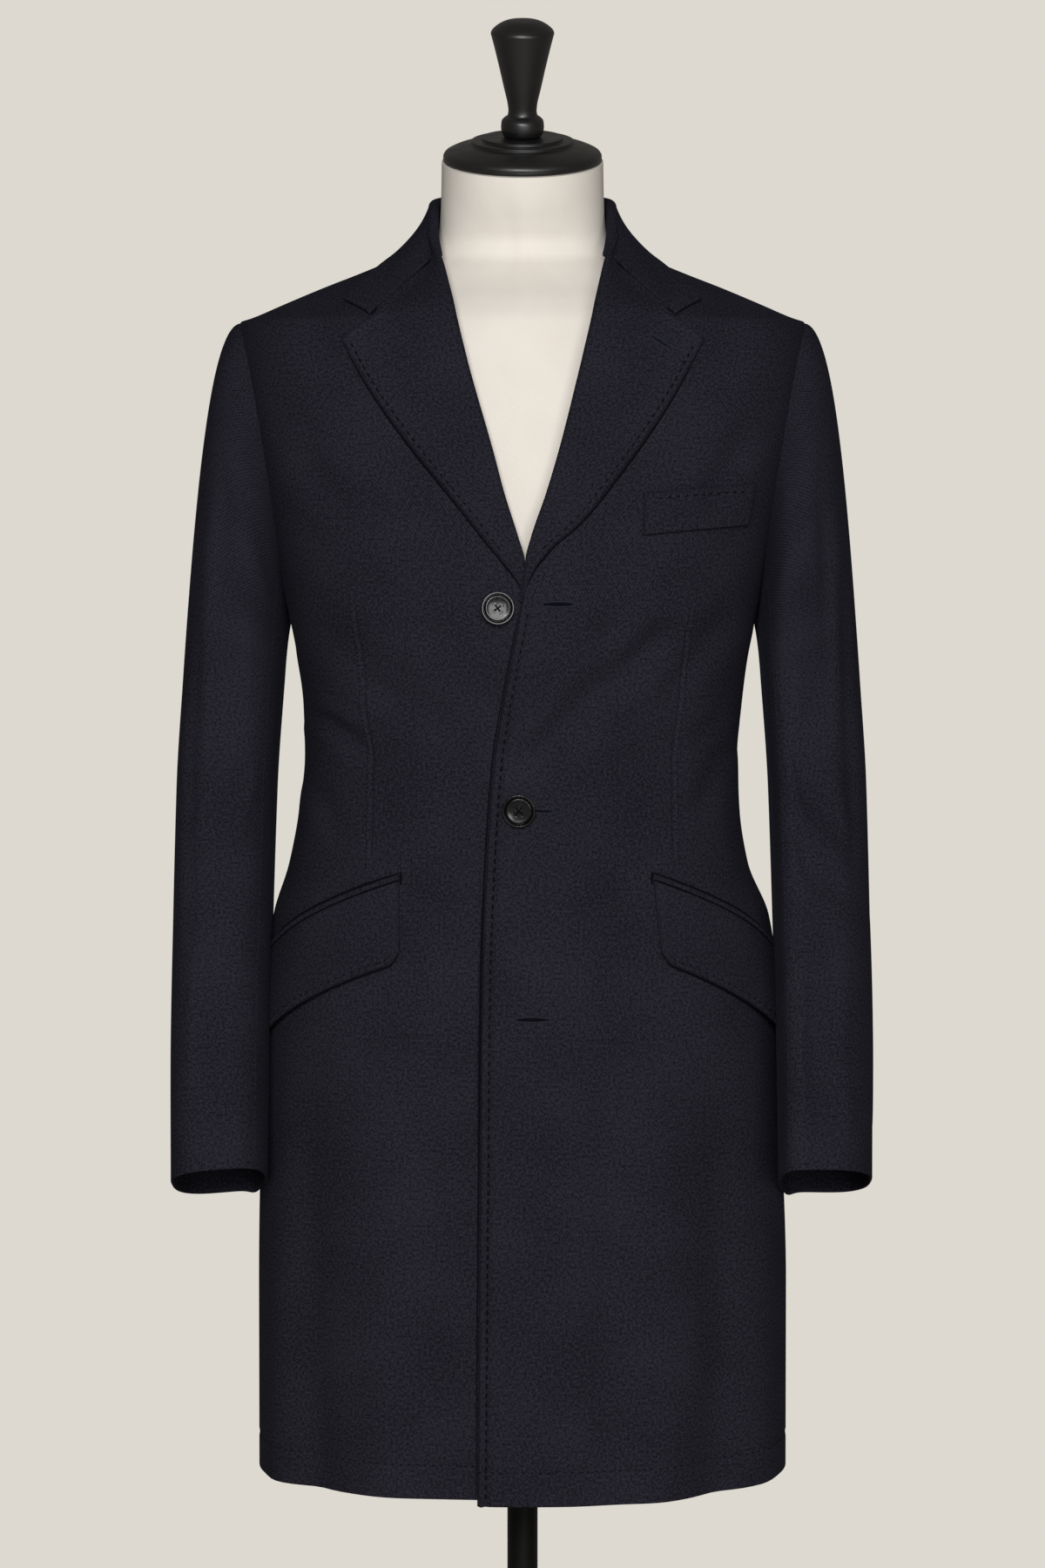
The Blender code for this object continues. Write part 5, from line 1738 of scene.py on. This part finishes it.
@dataclass
class Sleeve:
    """A set-in sleeve of two pieces, joined by a front and a back seam."""

    draft: Draft
    side: Side
    wool: Material
    cap_rows: int = 90
    arm_rows: int = 130
    top_columns: int = 60
    under_columns: int = 28
    cap_long: float = 0.26
    arm_long: float = 0.39
    top_wide: float = 0.26
    under_wide: float = 0.12
    cap_from: float = 0.008  # the even rows start and end here, as counted along the sleeve
    arm_to: float = 1.995
    vent_drop: float = 0.0030
    vent_wide: float = 0.25
    vent_from: float = 1.9
    tuck_in: float = 0.0011
    tuck_under: float = 0.0008
    tuck_less: float = 0.8  # how much less the cap tucks in on the shoulder
    tuck_power: int = 6

    def __post_init__(self) -> None:
        """Keeps a curve down the arm for each size."""
        self.arm_sizes = curves([-row.height for row in SLEEVE], SLEEVE, ArmSection._fields[1:])

    def armhole(self, angle: Array) -> Array:
        """Points of the armhole seam.

        Args:
            angle: 0 on the shoulder, a quarter turn in front.

        Returns:
            The points.
        """
        body = self.draft.body[Side.LEFT]
        height = mix(ARMPIT, SHOULDER, (1 + np.cos(angle)) / 2)
        face = np.where(np.sin(angle) >= 0, -1.0, 1.0)
        turn = body.turn_at_y(self.draft.seam_y(height, face), height)
        tuck = 1 - self.tuck_less * ((1 + np.cos(angle)) / 2) ** self.tuck_power
        sunk = body.off(turn, height, -self.tuck_in * tuck)
        return sunk - tuck[..., None] * np.array((self.tuck_under, 0, 0))

    def arm(self, angle: Array, height: Array) -> Array:
        """Points of the sleeve below the armpit.

        Args:
            angle: 0 on the outer side, a quarter turn in front.
            height: heights.

        Returns:
            The points.
        """
        size = {name: curve(-height) for name, curve in self.arm_sizes.items()}
        power = 2 / np.where(np.cos(angle) < 0, *SLEEVE_SQUARE[self.side])
        across = size["half_width"] * signed_power(np.cos(angle), power)
        deep = -size["half_depth"] * signed_power(np.sin(angle), power)
        fall = np.tan(np.radians(size["tilt"])) * deep
        top, foot = SLEEVE[0].height, SLEEVE[-1].height
        lean = SLEEVE_LEAN * across * (top - height) / (top - foot)
        deep = deep + SLEEVE_TWIST[self.side] * across
        return np.stack(
            [size["centre_x"] + across, size["centre_y"] + deep, height - fall - lean], axis=-1
        )

    def point(self, angle: Array, along: Array) -> Array:
        """Points of the sleeve.

        Args:
            angle: as for the armhole.
            along: 0 at the armhole, 1 at the biceps, 2 at the cuff.

        Returns:
            The points.
        """
        top, foot = SLEEVE[0].height, SLEEVE[-1].height
        lower = self.arm(angle, mix(top, foot, np.clip(along - 1, 0.0, 1.0)))
        level = np.full(angle.shape, top)
        start = self.armhole(angle)
        end = self.arm(angle, level)
        upward = unit(end - self.arm(angle, level - BICEPS_SLOPE))
        outer = ((1 + np.cos(angle)) / 2)[..., None]
        radial = np.stack([np.zeros(angle.shape), -np.sin(angle), np.cos(angle)], axis=-1)
        first = start + outer * np.array((CAP_OUT, 0.0, 0.0)) + radial * CAP_DOWN * (1 - outer)
        second = end + upward * (0.5 * (start - end)[..., 2:])
        t = np.clip(along, 0.0, 1.0)[..., None]
        upper = (
            start * (1 - t) ** 3 + first * 3 * t * (1 - t) ** 2 + second * 3 * t * t * (1 - t) + end * t**3
        )
        return np.where((along >= 1)[..., None], lower, upper)

    def build(self) -> None:
        """Builds the top and under pieces."""
        crowd = np.array(EDGE_CROWD)
        cap = np.linspace(self.cap_from, 1.0, self.cap_rows, endpoint=False)
        arm = np.linspace(1.0, self.arm_to, self.arm_rows)
        rows = np.concatenate([crowd / self.cap_long, cap, arm, 2.0 - crowd[::-1] / self.arm_long])
        gap = SEAM / 2 / SLEEVE[-1].half_depth
        front, back = math.radians(FRONT_ARM_SEAM), math.radians(BACK_ARM_SEAM)
        spans = {
            "top": (back + gap, front - gap, self.top_columns, self.top_wide),
            "under": (front + gap, back + 2 * math.pi - gap, self.under_columns, self.under_wide),
        }
        for piece, (low, high, count, wide) in spans.items():
            columns = np.array([mix(low, high, share) for share in crowded(count, wide, wide)] + [high])
            angle, along = np.meshgrid(columns, rows)
            name = f"sleeve_{piece}_{self.side.value}"
            edges = (SEAM_ROUND, EDGE_ROUND, SEAM_ROUND, SEAM_ROUND)
            cloth = Cloth(name, self.point(angle, along), CLOTH, self.side, edges)
            out = pressed(SLEEVE_CREASES[self.side], angle * SLEEVE_GIRTH, cloth.points[..., 2])
            cloth.points = cloth.points + cloth.normals * out[..., None]
            corner = np.minimum(np.abs(angle - back), np.abs(angle - back - 2 * math.pi))
            vent = hump(corner, 0.0, self.vent_wide) * ease(along, self.vent_from, 2.0)
            cloth.points[..., 2] -= self.vent_drop * vent
            settle(cloth.sheet("hung", f"front_{self.side.value}"), self.wool, Slot.COATING, cloth.name)


@dataclass
class HipPocket(SidePiece):
    """A slanted hip pocket: a rolled jet and the flap below it."""

    back_turn: float = math.radians(-13.0)
    top_front: float = 1.0165
    top_back: float = 0.9605
    arch: float = 0.0030
    deep_front: float = 0.0605
    deep_back: float = 0.0665
    corner: float = 0.06
    rounding: float = 0.12
    jet_gap: float = 0.0004
    jet_high: float = 0.0050
    jet_roll: float = 0.0019
    jet_round: float = 0.0007
    # Dark threads paint the shadow along the jet's seams; the bar tack is real thread.
    dark_thread_radius: float = 0.0016
    edge_shadow: float = 0.8
    stitch_in: float = 0.0065
    stitch_size: float = 0.75
    edge_turn: float = 0.0022
    turn_wide: float = 0.0017
    end_wide: float = 0.0014
    drop: float = 0.0022
    flare_front: float = 0.0036
    long: float = 0.12  # about the flap's sizes, which space its columns and rows
    tall: float = 0.066
    long_steps: int = 46
    tall_steps: int = 24
    jet_steps: int = 13
    sewn_span: Spot = (0.04, 0.97)
    near_end: tuple[float, ...] = (0.03, 0.05, 0.07)  # extra columns, as shares of the length
    shadow_line_out: float = 0.0013
    shadow_line_points: int = 60
    tack_span: Spot = (-0.003, 0.007)
    tack_ahead: float = 0.001
    tack_out: float = 0.0006
    tack_size: float = 0.6
    tack_points: int = 7

    def __post_init__(self) -> None:
        """Sets what differs between the two pockets: place, slant and how far the flap swings out."""
        left = self.side is Side.LEFT
        self.front_x = 0.0972 if left else 0.0916
        self.slant = 0.0060 if left else -0.0008
        self.sag = 0.0 if left else 0.0022
        self.flare_back = 0.0085 if left else 0.0050

    def mouth(self, share: Array) -> Array:
        """The height of the pocket's mouth, along its length."""
        straight = mix(self.top_front, self.top_back - self.sag, share)
        return straight + self.arch * 4 * share * (1 - share) - self.drop

    def lay(self, share: Array, height: Array, out: Number) -> Array:
        """Points over the front, a share of the pocket's length back from its front end."""
        below = np.clip((self.mouth(0.0) - height) / self.deep_front, 0.0, 1.0) * (1 - share)
        start = self.draft.body[self.side].turn_at_x(self.front_x + self.slant * below, height)
        return self.draft.skin(self.side, mix(start, self.back_turn, share), height, out)

    def build(self) -> None:
        """Builds the flap and the jet, and sews the flap's edge."""
        shares = {*crowded(self.long_steps, self.long, self.long), *self.near_end}
        columns = np.array([*sorted(shares), 1.0])
        rows = np.array([*crowded(self.tall_steps, self.tall, self.tall), 1.0])
        share, up = np.meshgrid(columns, rows)
        top = self.mouth(share)
        near = np.clip(1 - share / self.corner, 0.0, 1.0)
        deep = mix(self.deep_front, self.deep_back, share) * (1 - self.rounding * near**2)
        down = 1 - up
        edge = deep * up
        sewn = (columns > self.sewn_span[0]) & (columns < self.sewn_span[1])
        row = int(np.argmin(np.abs(edge[:, len(columns) // 2] - self.stitch_in)))
        out = LAY + FLAP + mix(self.flare_front, self.flare_back, share**2) * down
        turned_in = hump(self.long * share, 0.0, self.end_wide)
        out = out - self.edge_turn * np.maximum(hump(edge, 0.0, self.turn_wide), turned_in)
        line = self.lay(columns, (top - deep * down)[row], LAY + FLAP)
        pulled = pits(line, sewn, self.needle.pitch).T * hump(edge, self.stitch_in, PIT_WIDE)
        out = out - self.needle.dimple * pulled
        cloth = Cloth(f"flap_{self.side.value}", self.lay(share, top - deep * down, out), FLAP, self.side)
        settle(cloth.sheet("hung", f"front_{self.side.value}"), self.wool, Slot.COATING, cloth.name)
        ropes = self.needle.stitches(
            cloth, cloth.points[row, sewn], cloth.normals[row, sewn], size=self.stitch_size
        )
        ropes.append(self.needle.shadow_under_edge(cloth, cloth.points[0], cloth.normals[row], self.edge_shadow))
        low, high = self.tack_span
        tack_x = np.full(self.tack_points, self.front_x - self.tack_ahead)
        tack_z = np.linspace(self.mouth(0.0) + low, self.mouth(0.0) + high, self.tack_points)
        tack = self.draft.on_front(self.side, tack_x, tack_z, self.tack_out)
        ropes.append(self.seam(cloth.world(tack), self.tack_size))
        # Painted shadow: a dark thread along each of the jet's two seams.
        along = np.linspace(0.0, 1.0, self.shadow_line_points)
        for height in (0.0, self.jet_high + 2 * self.jet_gap):
            seam = self.lay(along, self.mouth(along) + height, self.shadow_line_out)
            ropes.append(self.seam(cloth.world(seam)))
        self.needle.sew(f"stitches_{cloth.name}", ropes)
        share, up = np.meshgrid(columns, np.linspace(0.0, 1.0, self.jet_steps))
        height = self.mouth(share) + self.jet_gap + self.jet_high * up
        rolled = LAY + JET + self.jet_roll * np.sqrt(np.sin(math.pi * np.clip(up, 0.02, 0.98)))
        points = self.lay(share, height, rolled)
        jet = Cloth(f"jet_{self.side.value}", points, JET, self.side, (self.jet_round,) * 4)
        settle(jet.sheet("folded", f"front_{self.side.value}"), self.wool, Slot.COATING, jet.name)

    def seam(self, path: Array, thick: float = 1.0) -> Rope:
        """A dark thread along a path on the pocket: the bar tack's own thread, and the painted shadow along
        the jet's sunk seams.
        """
        out = np.repeat([(0.0, -1.0, 0.0)], len(path), axis=0)
        return Rope(path, out, tapered(thick * self.dark_thread_radius, len(path), BLUNT))


@dataclass
class BreastWelt:
    """The breast pocket's welt, on the left front."""

    draft: Draft
    wool: Material
    needle: Needlework
    low_in: Spot = (0.0885, 1.2713)
    low_out: Spot = (0.1680, 1.2794)
    high_in: Spot = (0.0897, 1.3029)
    high_out: Spot = (0.1730, 1.3107)
    stitch_in: float = 0.0050
    stand: float = 0.0012
    edge_turn: float = 0.0020
    turn_wide: float = 0.0016
    wide: float = 0.084
    tall: float = 0.032
    wide_steps: int = 40
    tall_steps: int = 16
    sewn_span: Spot = (0.08, 0.95)

    def build(self) -> None:
        """Builds the welt and sews along its top."""
        columns = [*crowded(self.wide_steps, self.wide, self.wide), 1.0]
        share, up = np.meshgrid(columns, [*crowded(self.tall_steps, self.tall, self.tall), 1.0])
        corners = [np.array(c) for c in (self.low_in, self.low_out, self.high_in, self.high_out)]
        low = mix(corners[0], corners[1], share[..., None])
        spot = mix(low, mix(corners[2], corners[3], share[..., None]), up[..., None])
        down = (1 - up) * self.tall
        gap = np.minimum(down, self.wide * np.minimum(share, 1 - share))
        out = LAY + FLAP + self.stand - self.edge_turn * hump(gap, 0.0, self.turn_wide)
        row = int(np.argmin(np.abs(down[:, 0] - self.stitch_in)))
        sewn = (share[0] > self.sewn_span[0]) & (share[0] < self.sewn_span[1])
        line = self.draft.on_front(Side.LEFT, spot[row, :, 0], spot[row, :, 1])
        pulled = pits(line, sewn, self.needle.pitch).T * hump(down, self.stitch_in, PIT_WIDE)
        out = out - self.needle.dimple * pulled
        points = self.draft.on_front(Side.LEFT, spot[..., 0], spot[..., 1], out)
        cloth = Cloth("breast_welt", points, FLAP)
        settle(cloth.sheet("hung", "front_left"), self.wool, Slot.COATING, cloth.name)
        ropes = self.needle.stitches(cloth, points[row, sewn], cloth.normals[row, sewn])
        self.needle.sew("stitches_breast_welt", ropes)


def ring_faces(rows: int, sides: int) -> list[list[int]]:
    """The faces between rings of points that stand one above another."""
    number = np.arange(rows * sides).reshape(rows, sides)
    ahead = np.roll(number, -1, axis=1)
    return np.stack([number[:-1], ahead[:-1], ahead[1:], number[1:]], axis=-1).reshape(-1, 4).tolist()


def turned(name: str, profile: Sequence[Sequence[float]], sides: int, fine: int) -> Object:
    """Spins a profile round the Z axis, rounding its corners a little.

    Args:
        name: the piece's name.
        profile: radius and height of each point, from the foot on the axis to the top on it.
        sides: points round the axis.
        fine: points drawn for each point of the profile.

    Returns:
        The new object.
    """
    knots = np.arange(len(profile))
    at = np.linspace(0, len(profile) - 1, (len(profile) - 1) * fine + 1)
    radius, height = (Curve(knots, [row[i] for row in profile])(at) for i in (0, 1))
    angle = np.arange(sides) * 2 * math.pi / sides
    across, back = radius[:, None] * np.cos(angle), radius[:, None] * np.sin(angle)
    points = np.stack([across, back, np.repeat(height[:, None], sides, axis=1)], axis=-1)
    piece = mesh_piece(name, points, ring_faces(len(at), sides))
    piece.data.set_sharp_from_angle(angle=SHARP)
    return piece


@dataclass
class Button:
    """A four-hole horn button with a raised rim, sewn on with crossed thread."""

    name: str
    place: Array
    out: Array
    horn: Material
    needle: Needlework
    radius: float = 0.0123
    thick: float = 0.0042
    off: float = 0.0009
    hole: float = 0.0016
    spread: float = 0.0024
    thread: float = 0.0006
    thread_points: int = 9
    thread_reach: float = 1.15  # the thread's ends, as a share of the way from the centre to a hole
    thread_high: float = 0.76
    thread_dive: Spot = (0.75, 0.45)  # from where it goes down into the hole, and how steeply
    sides: int = 64
    fine: int = 4
    drill_sides: int = 16
    drill_from: float = 0.3

    def profile(self) -> list[tuple[float, float]]:
        """Radius and height of each point of the button's outline."""
        shares = (
            (0.0, 0.0), (0.8, 0.0), (0.96, 0.22), (1.0, 0.55), (0.995, 0.85),
            (0.975, 0.97), (0.955, 1.0), (0.905, 1.0), (0.885, 0.95), (0.865, 0.75),
            (0.83, 0.16), (0.81, 0.1), (0.79, 0.16), (0.75, 0.7), (0.73, 0.79),
            (0.7, 0.8), (0.55, 0.745), (0.35, 0.7), (0.15, 0.675), (0.0, 0.67),
        )
        return [(radius * self.radius, high * self.thick) for radius, high in shares]

    def build(self) -> None:
        """Turns the button, drills it, and sews it on."""
        piece = turned(f"{self.name}_horn", self.profile(), self.sides, self.fine)
        hole = ((0, 0), (self.hole, 0), (self.hole, self.thick), (0, self.thick))
        drill = turned("drill", hole, self.drill_sides, 1)
        corners = [(i, j) for i in (-1, 1) for j in (-1, 1)]
        bits = [drill] + [new_object("drill", drill.data) for _ in corners[1:]]
        for bit, (x, y) in zip(bits, corners):
            bit.location = (x * self.spread, y * self.spread, self.drill_from * self.thick)
            cut = piece.modifiers.new("hole", "BOOLEAN")
            cut.object = bit
            cut.operation = "DIFFERENCE"
        bpy.context.view_layer.update()
        graph = bpy.context.evaluated_depsgraph_get()
        drilled = bpy.data.meshes.new_from_object(piece.evaluated_get(graph))
        piece.modifiers.clear()
        piece.data = drilled
        for bit in bits:
            bpy.data.objects.remove(bit)
        spin = Vector((0, 0, 1)).rotation_difference(Vector(self.out)).to_matrix().to_4x4()
        frame_at = Matrix.Translation(Vector(self.place + self.out * self.off)) @ spin
        piece.data.transform(frame_at)
        settle(piece, self.horn, Slot.HORN, self.name)
        along = np.linspace(-self.thread_reach, self.thread_reach, self.thread_points)
        dive, steep = self.thread_dive
        high = self.thick * (self.thread_high - steep * np.clip(np.abs(along) - dive, 0.0, 1.0))
        out = np.repeat(self.out[None], self.thread_points, axis=0)
        ropes = []
        for sign in (-1, 1):
            across, up = self.spread * along, sign * self.spread * along
            path = np.array([frame_at @ Vector(spot) for spot in zip(across, up, high)])
            ropes.append(Rope(path, out, tapered(self.thread, self.thread_points)))
        self.needle.sew(f"thread_{self.name}", ropes)


@dataclass
class Closure:
    """The three buttons, their buttonholes, and the one in the left lapel."""

    draft: Draft
    lapel: Lapel
    horn: Material
    needle: Needlework
    holes: tuple[tuple[Spot, Spot], ...] = (
        ((0.0141, 1.2208), (0.0385, 1.2208)),
        ((0.0060, 1.0672), (0.0225, 1.0668)),
        ((-0.0058, 0.9125), (0.0206, 0.9125)),
    )
    # Half the height of each slit's painted shade.
    slit_shadows: tuple[float, ...] = (0.0012, 0.0007, 0.0012)
    lapel_slit_shadow: float = 0.0004
    top_facing: tuple[float, ...] = (0.14, -1.0, -0.02)
    middle_facing: tuple[float, ...] = (-0.03, -1.0, -0.06)
    lapel_hole: tuple[Spot, Spot] = ((0.0935, 1.4177), (0.1110, 1.4074))

    def build(self) -> None:
        """Builds the buttons and works the buttonholes."""
        fronts = {side: partial(self.draft.on_front, side) for side in Side}
        spots = (
            ("button_top", Side.RIGHT, BUTTON_TOP, self.top_facing),
            ("button_bottom", Side.RIGHT, BUTTON_BOTTOM, None),
            ("button_middle", Side.LEFT, BUTTON_MIDDLE, self.middle_facing),
        )
        for name, side, spot, facing in spots:
            flip = np.array((side.flip, 1.0, 1.0))
            place, out = (found[0] * flip for found in laid(fronts[side], np.array([spot]), 0.0))
            faced = out if facing is None else unit(np.array(facing))
            shank = np.linalg.norm(np.cross(out, faced)) * Button.radius
            Button(name, place + out * shank, faced, self.horn, self.needle).build()
        for which, hole, slit in zip(("top", "middle", "bottom"), self.holes, self.slit_shadows):
            self.needle.buttonhole(f"buttonhole_{which}", fronts[Side.LEFT], *hole, slit)
        self.needle.buttonhole("buttonhole_lapel", self.lapel.place, *self.lapel_hole, self.lapel_slit_shadow)


@dataclass
class DressForm:
    """The limbless form: a padded torso, a turned cap and finial, a pole and a base."""

    cover: Material
    wood: Material
    steel: Material
    sides: int = 96
    row_step: float = 0.004
    fine: int = 4
    bevel: float = 0.0006
    sharp: float = math.radians(50.0)
    grain_radius: float = 0.119375  # turns an angle round the torso into a length of cloth

    def torso(self) -> None:
        """Builds the padded torso with its tilted neck."""
        figure = Tube(FORM)
        foot, top = FORM[0].height, FORM[-1].height
        levels = np.unique(
            np.concatenate([np.arange(foot, top, self.row_step), [row.height for row in FORM]])
        )
        turn = (np.arange(self.sides) + 0.5) * 2 * math.pi / self.sides
        turns, heights = np.meshgrid(turn, levels)
        points = figure.point(turns, heights)
        lean = math.tan(NECK_TILT) * ease(heights, NECK_TILT_FROM, top)
        points[..., 2] += lean * (points[..., 1] - figure.sizes["ridge"](heights))
        corners = list(range(heights.size))
        faces = ring_faces(*heights.shape)
        faces += [corners[: self.sides][::-1], corners[-self.sides :]]
        piece = mesh_piece("form_torso_cover", points, faces)
        layer = piece.data.uv_layers.new(name="grain")
        place = np.zeros(len(piece.data.vertices) * 3)
        piece.data.vertices.foreach_get("co", place)
        corner = np.zeros(len(piece.data.loops), dtype=int)
        piece.data.loops.foreach_get("vertex_index", corner)
        spot = place.reshape(-1, 3)[corner]
        around = np.arctan2(spot[:, 1], spot[:, 0]) * self.grain_radius
        layer.uv.foreach_set("vector", np.stack([around, spot[:, 2]], axis=-1).astype(np.float32).ravel())
        piece.data.set_sharp_from_angle(angle=self.sharp)
        settle(piece, self.cover, Slot.COVER, "form_torso")

    def stand(self) -> None:
        """Turns the cap and the finial on the neck, and the pole and base below."""
        neck = FORM[-1]
        tilt = Matrix.Rotation(NECK_TILT, 4, "X")
        axis = Matrix.Translation((0.0, neck.ridge, neck.height)) @ tilt
        above = CAP_PROFILE[-1][1] + 2 * SEAM
        base_top = BASE_PROFILE[-1][1]
        length = FORM[0].height - base_top - 2 * SEAM
        inner = POLE_RADIUS - self.bevel
        lower = ((0.0, 0.0), (inner, 0.0), (POLE_RADIUS, self.bevel))
        pole = (*lower, *((radius, length - height) for radius, height in reversed(lower)))
        for node, profile, place, material, slot in (
            ("neck_cap", CAP_PROFILE, axis @ Matrix.Translation((0, 0, SEAM)), self.wood, Slot.WOOD),
            ("finial", FINIAL_PROFILE, axis @ Matrix.Translation((0, 0, above)), self.wood, Slot.WOOD),
            ("pole", pole, Matrix.Translation((0, 0, base_top + SEAM)), self.steel, Slot.STAND),
            ("base", BASE_PROFILE, Matrix.Identity(4), self.steel, Slot.STAND),
        ):
            piece = turned(f"{node}_turned", profile, self.sides, 1 if node == "pole" else self.fine)
            piece.data.transform(place)
            settle(piece, material, slot, node)


class Lamp(NamedTuple):
    """A soft square light: where it hangs, its size and its power."""

    name: str
    place: tuple[float, float, float]
    size: float
    power: float


@dataclass
class Studio:
    """A plain pale floor, soft light from all round, and the photo's camera."""

    wall: str = "#ddd9d0"
    floor: str = "#cbc6bc"
    eye: Vector = Vector((0.0, -3.6, 1.25))
    aim: Vector = Vector((0.0, 0.0, 1.0818))
    seen: float = 1.2006
    sensor: float = 36.0
    floor_radius: float = 1.9
    floor_thick: float = 0.02
    floor_sides: int = 96
    floor_rough: float = 0.7
    ambient: float = 0.18
    room: float = 0.28  # what polished pieces reflect of the walls
    lamps: tuple[Lamp, ...] = (
        Lamp("key", (-0.3, -3.8, 2.2), 1.2, 116.0),
        Lamp("fill", (1.0, -3.6, 1.4), 1.4, 42.0),
        Lamp("behind", (0.0, 4.2, 1.5), 0.7, 115.0),
    )

    def camera(self) -> None:
        """Stands the camera where the photo's was."""
        data = bpy.data.cameras.new("photo_camera")
        data.sensor_fit = "VERTICAL"
        data.sensor_height = self.sensor
        data.lens = self.sensor * (self.aim - self.eye).length / self.seen
        camera = new_object(data.name, data)
        self.aimed(camera, self.eye)
        bpy.context.scene.camera = camera

    def aimed(self, piece: Object, place: Vector) -> None:
        """Puts a lamp or the camera in its place and turns it to the coat's chest."""
        piece.location = place
        piece.rotation_euler = (self.aim - place).to_track_quat("-Z", "Y").to_euler()

    def light(self, lamp: Lamp) -> None:
        """Hangs a lamp."""
        data = bpy.data.lights.new(lamp.name, "AREA")
        data.size = lamp.size
        data.energy = lamp.power
        self.aimed(new_object(lamp.name, data), Vector(lamp.place))

    def build(self) -> None:
        """Sets the world, the floor, the lights and the camera."""
        scene = bpy.context.scene
        scene.view_settings.view_transform = "Standard"
        world = bpy.data.worlds.new("studio")
        world.use_nodes = True
        tree = world.node_tree
        shown = tree.nodes["Background"]
        fill(shown, {"Color": linear(self.wall)})
        add = partial(add_node, tree)
        rays = add("ShaderNodeLightPath").outputs
        lit = {"Value": rays["Is Glossy Ray"], "To Min": self.ambient, "To Max": self.room}
        strength = add("ShaderNodeMapRange", lit).outputs["Result"]
        dim = {"Color": linear(self.wall), "Strength": strength}
        dimmed = add("ShaderNodeBackground", dim).outputs[0]
        shared = {0: rays["Is Camera Ray"], 1: dimmed, 2: shown.outputs[0]}
        both = add("ShaderNodeMixShader", shared).outputs[0]
        fill(tree.nodes["World Output"], {"Surface": both})
        scene.world = world
        low = -self.floor_thick
        profile = ((0.0, low), (self.floor_radius, low), (self.floor_radius, 0.0), (0.0, 0.0))
        floor = turned("studio_floor", profile, self.floor_sides, 1)
        material, _, shader = new_material("pale_painted_floor")
        fill(shader, {"Base Color": linear(self.floor), "Roughness": self.floor_rough})
        floor.data.materials.append(material)
        for lamp in self.lamps:
            self.light(lamp)
        self.camera()


def main() -> None:
    """Builds the coat, the form and the studio, and reports each piece."""
    logging.basicConfig(level=logging.INFO, format="%(message)s")
    draft = Draft()
    wool = WoolCoating().material()
    twist = SilkThread("buttonhole_twist", "#1f2027", "#2f3039")
    needle = Needlework(SilkThread().material(), twist.material())
    horn = BuffaloHorn().material()
    lapels = {side: Lapel(draft, side, wool, needle) for side in Side}
    for side in Side:
        Front(draft, side, wool, needle).build()
        Back(draft, side, wool, needle).build()
        lapels[side].build()
        Sleeve(draft, side, wool).build()
        HipPocket(draft, side, wool, needle).build()
    Collar(draft, wool).build()
    BreastWelt(draft, wool, needle).build()
    Closure(draft, lapels[Side.LEFT], horn, needle).build()
    lacquer = TurnedCoat("black_lacquered_wood", "#0c0b0b", "#121011", 1.8, 0.40, 0.5)
    paint = TurnedCoat("black_painted_steel", "#050505", "#090909", 3.0, 0.50, 0.12)
    form = DressForm(CreamCotton().material(), lacquer.material(), paint.material())
    form.torso()
    form.stand()
    Studio().build()


if __name__ == "__main__":
    main()
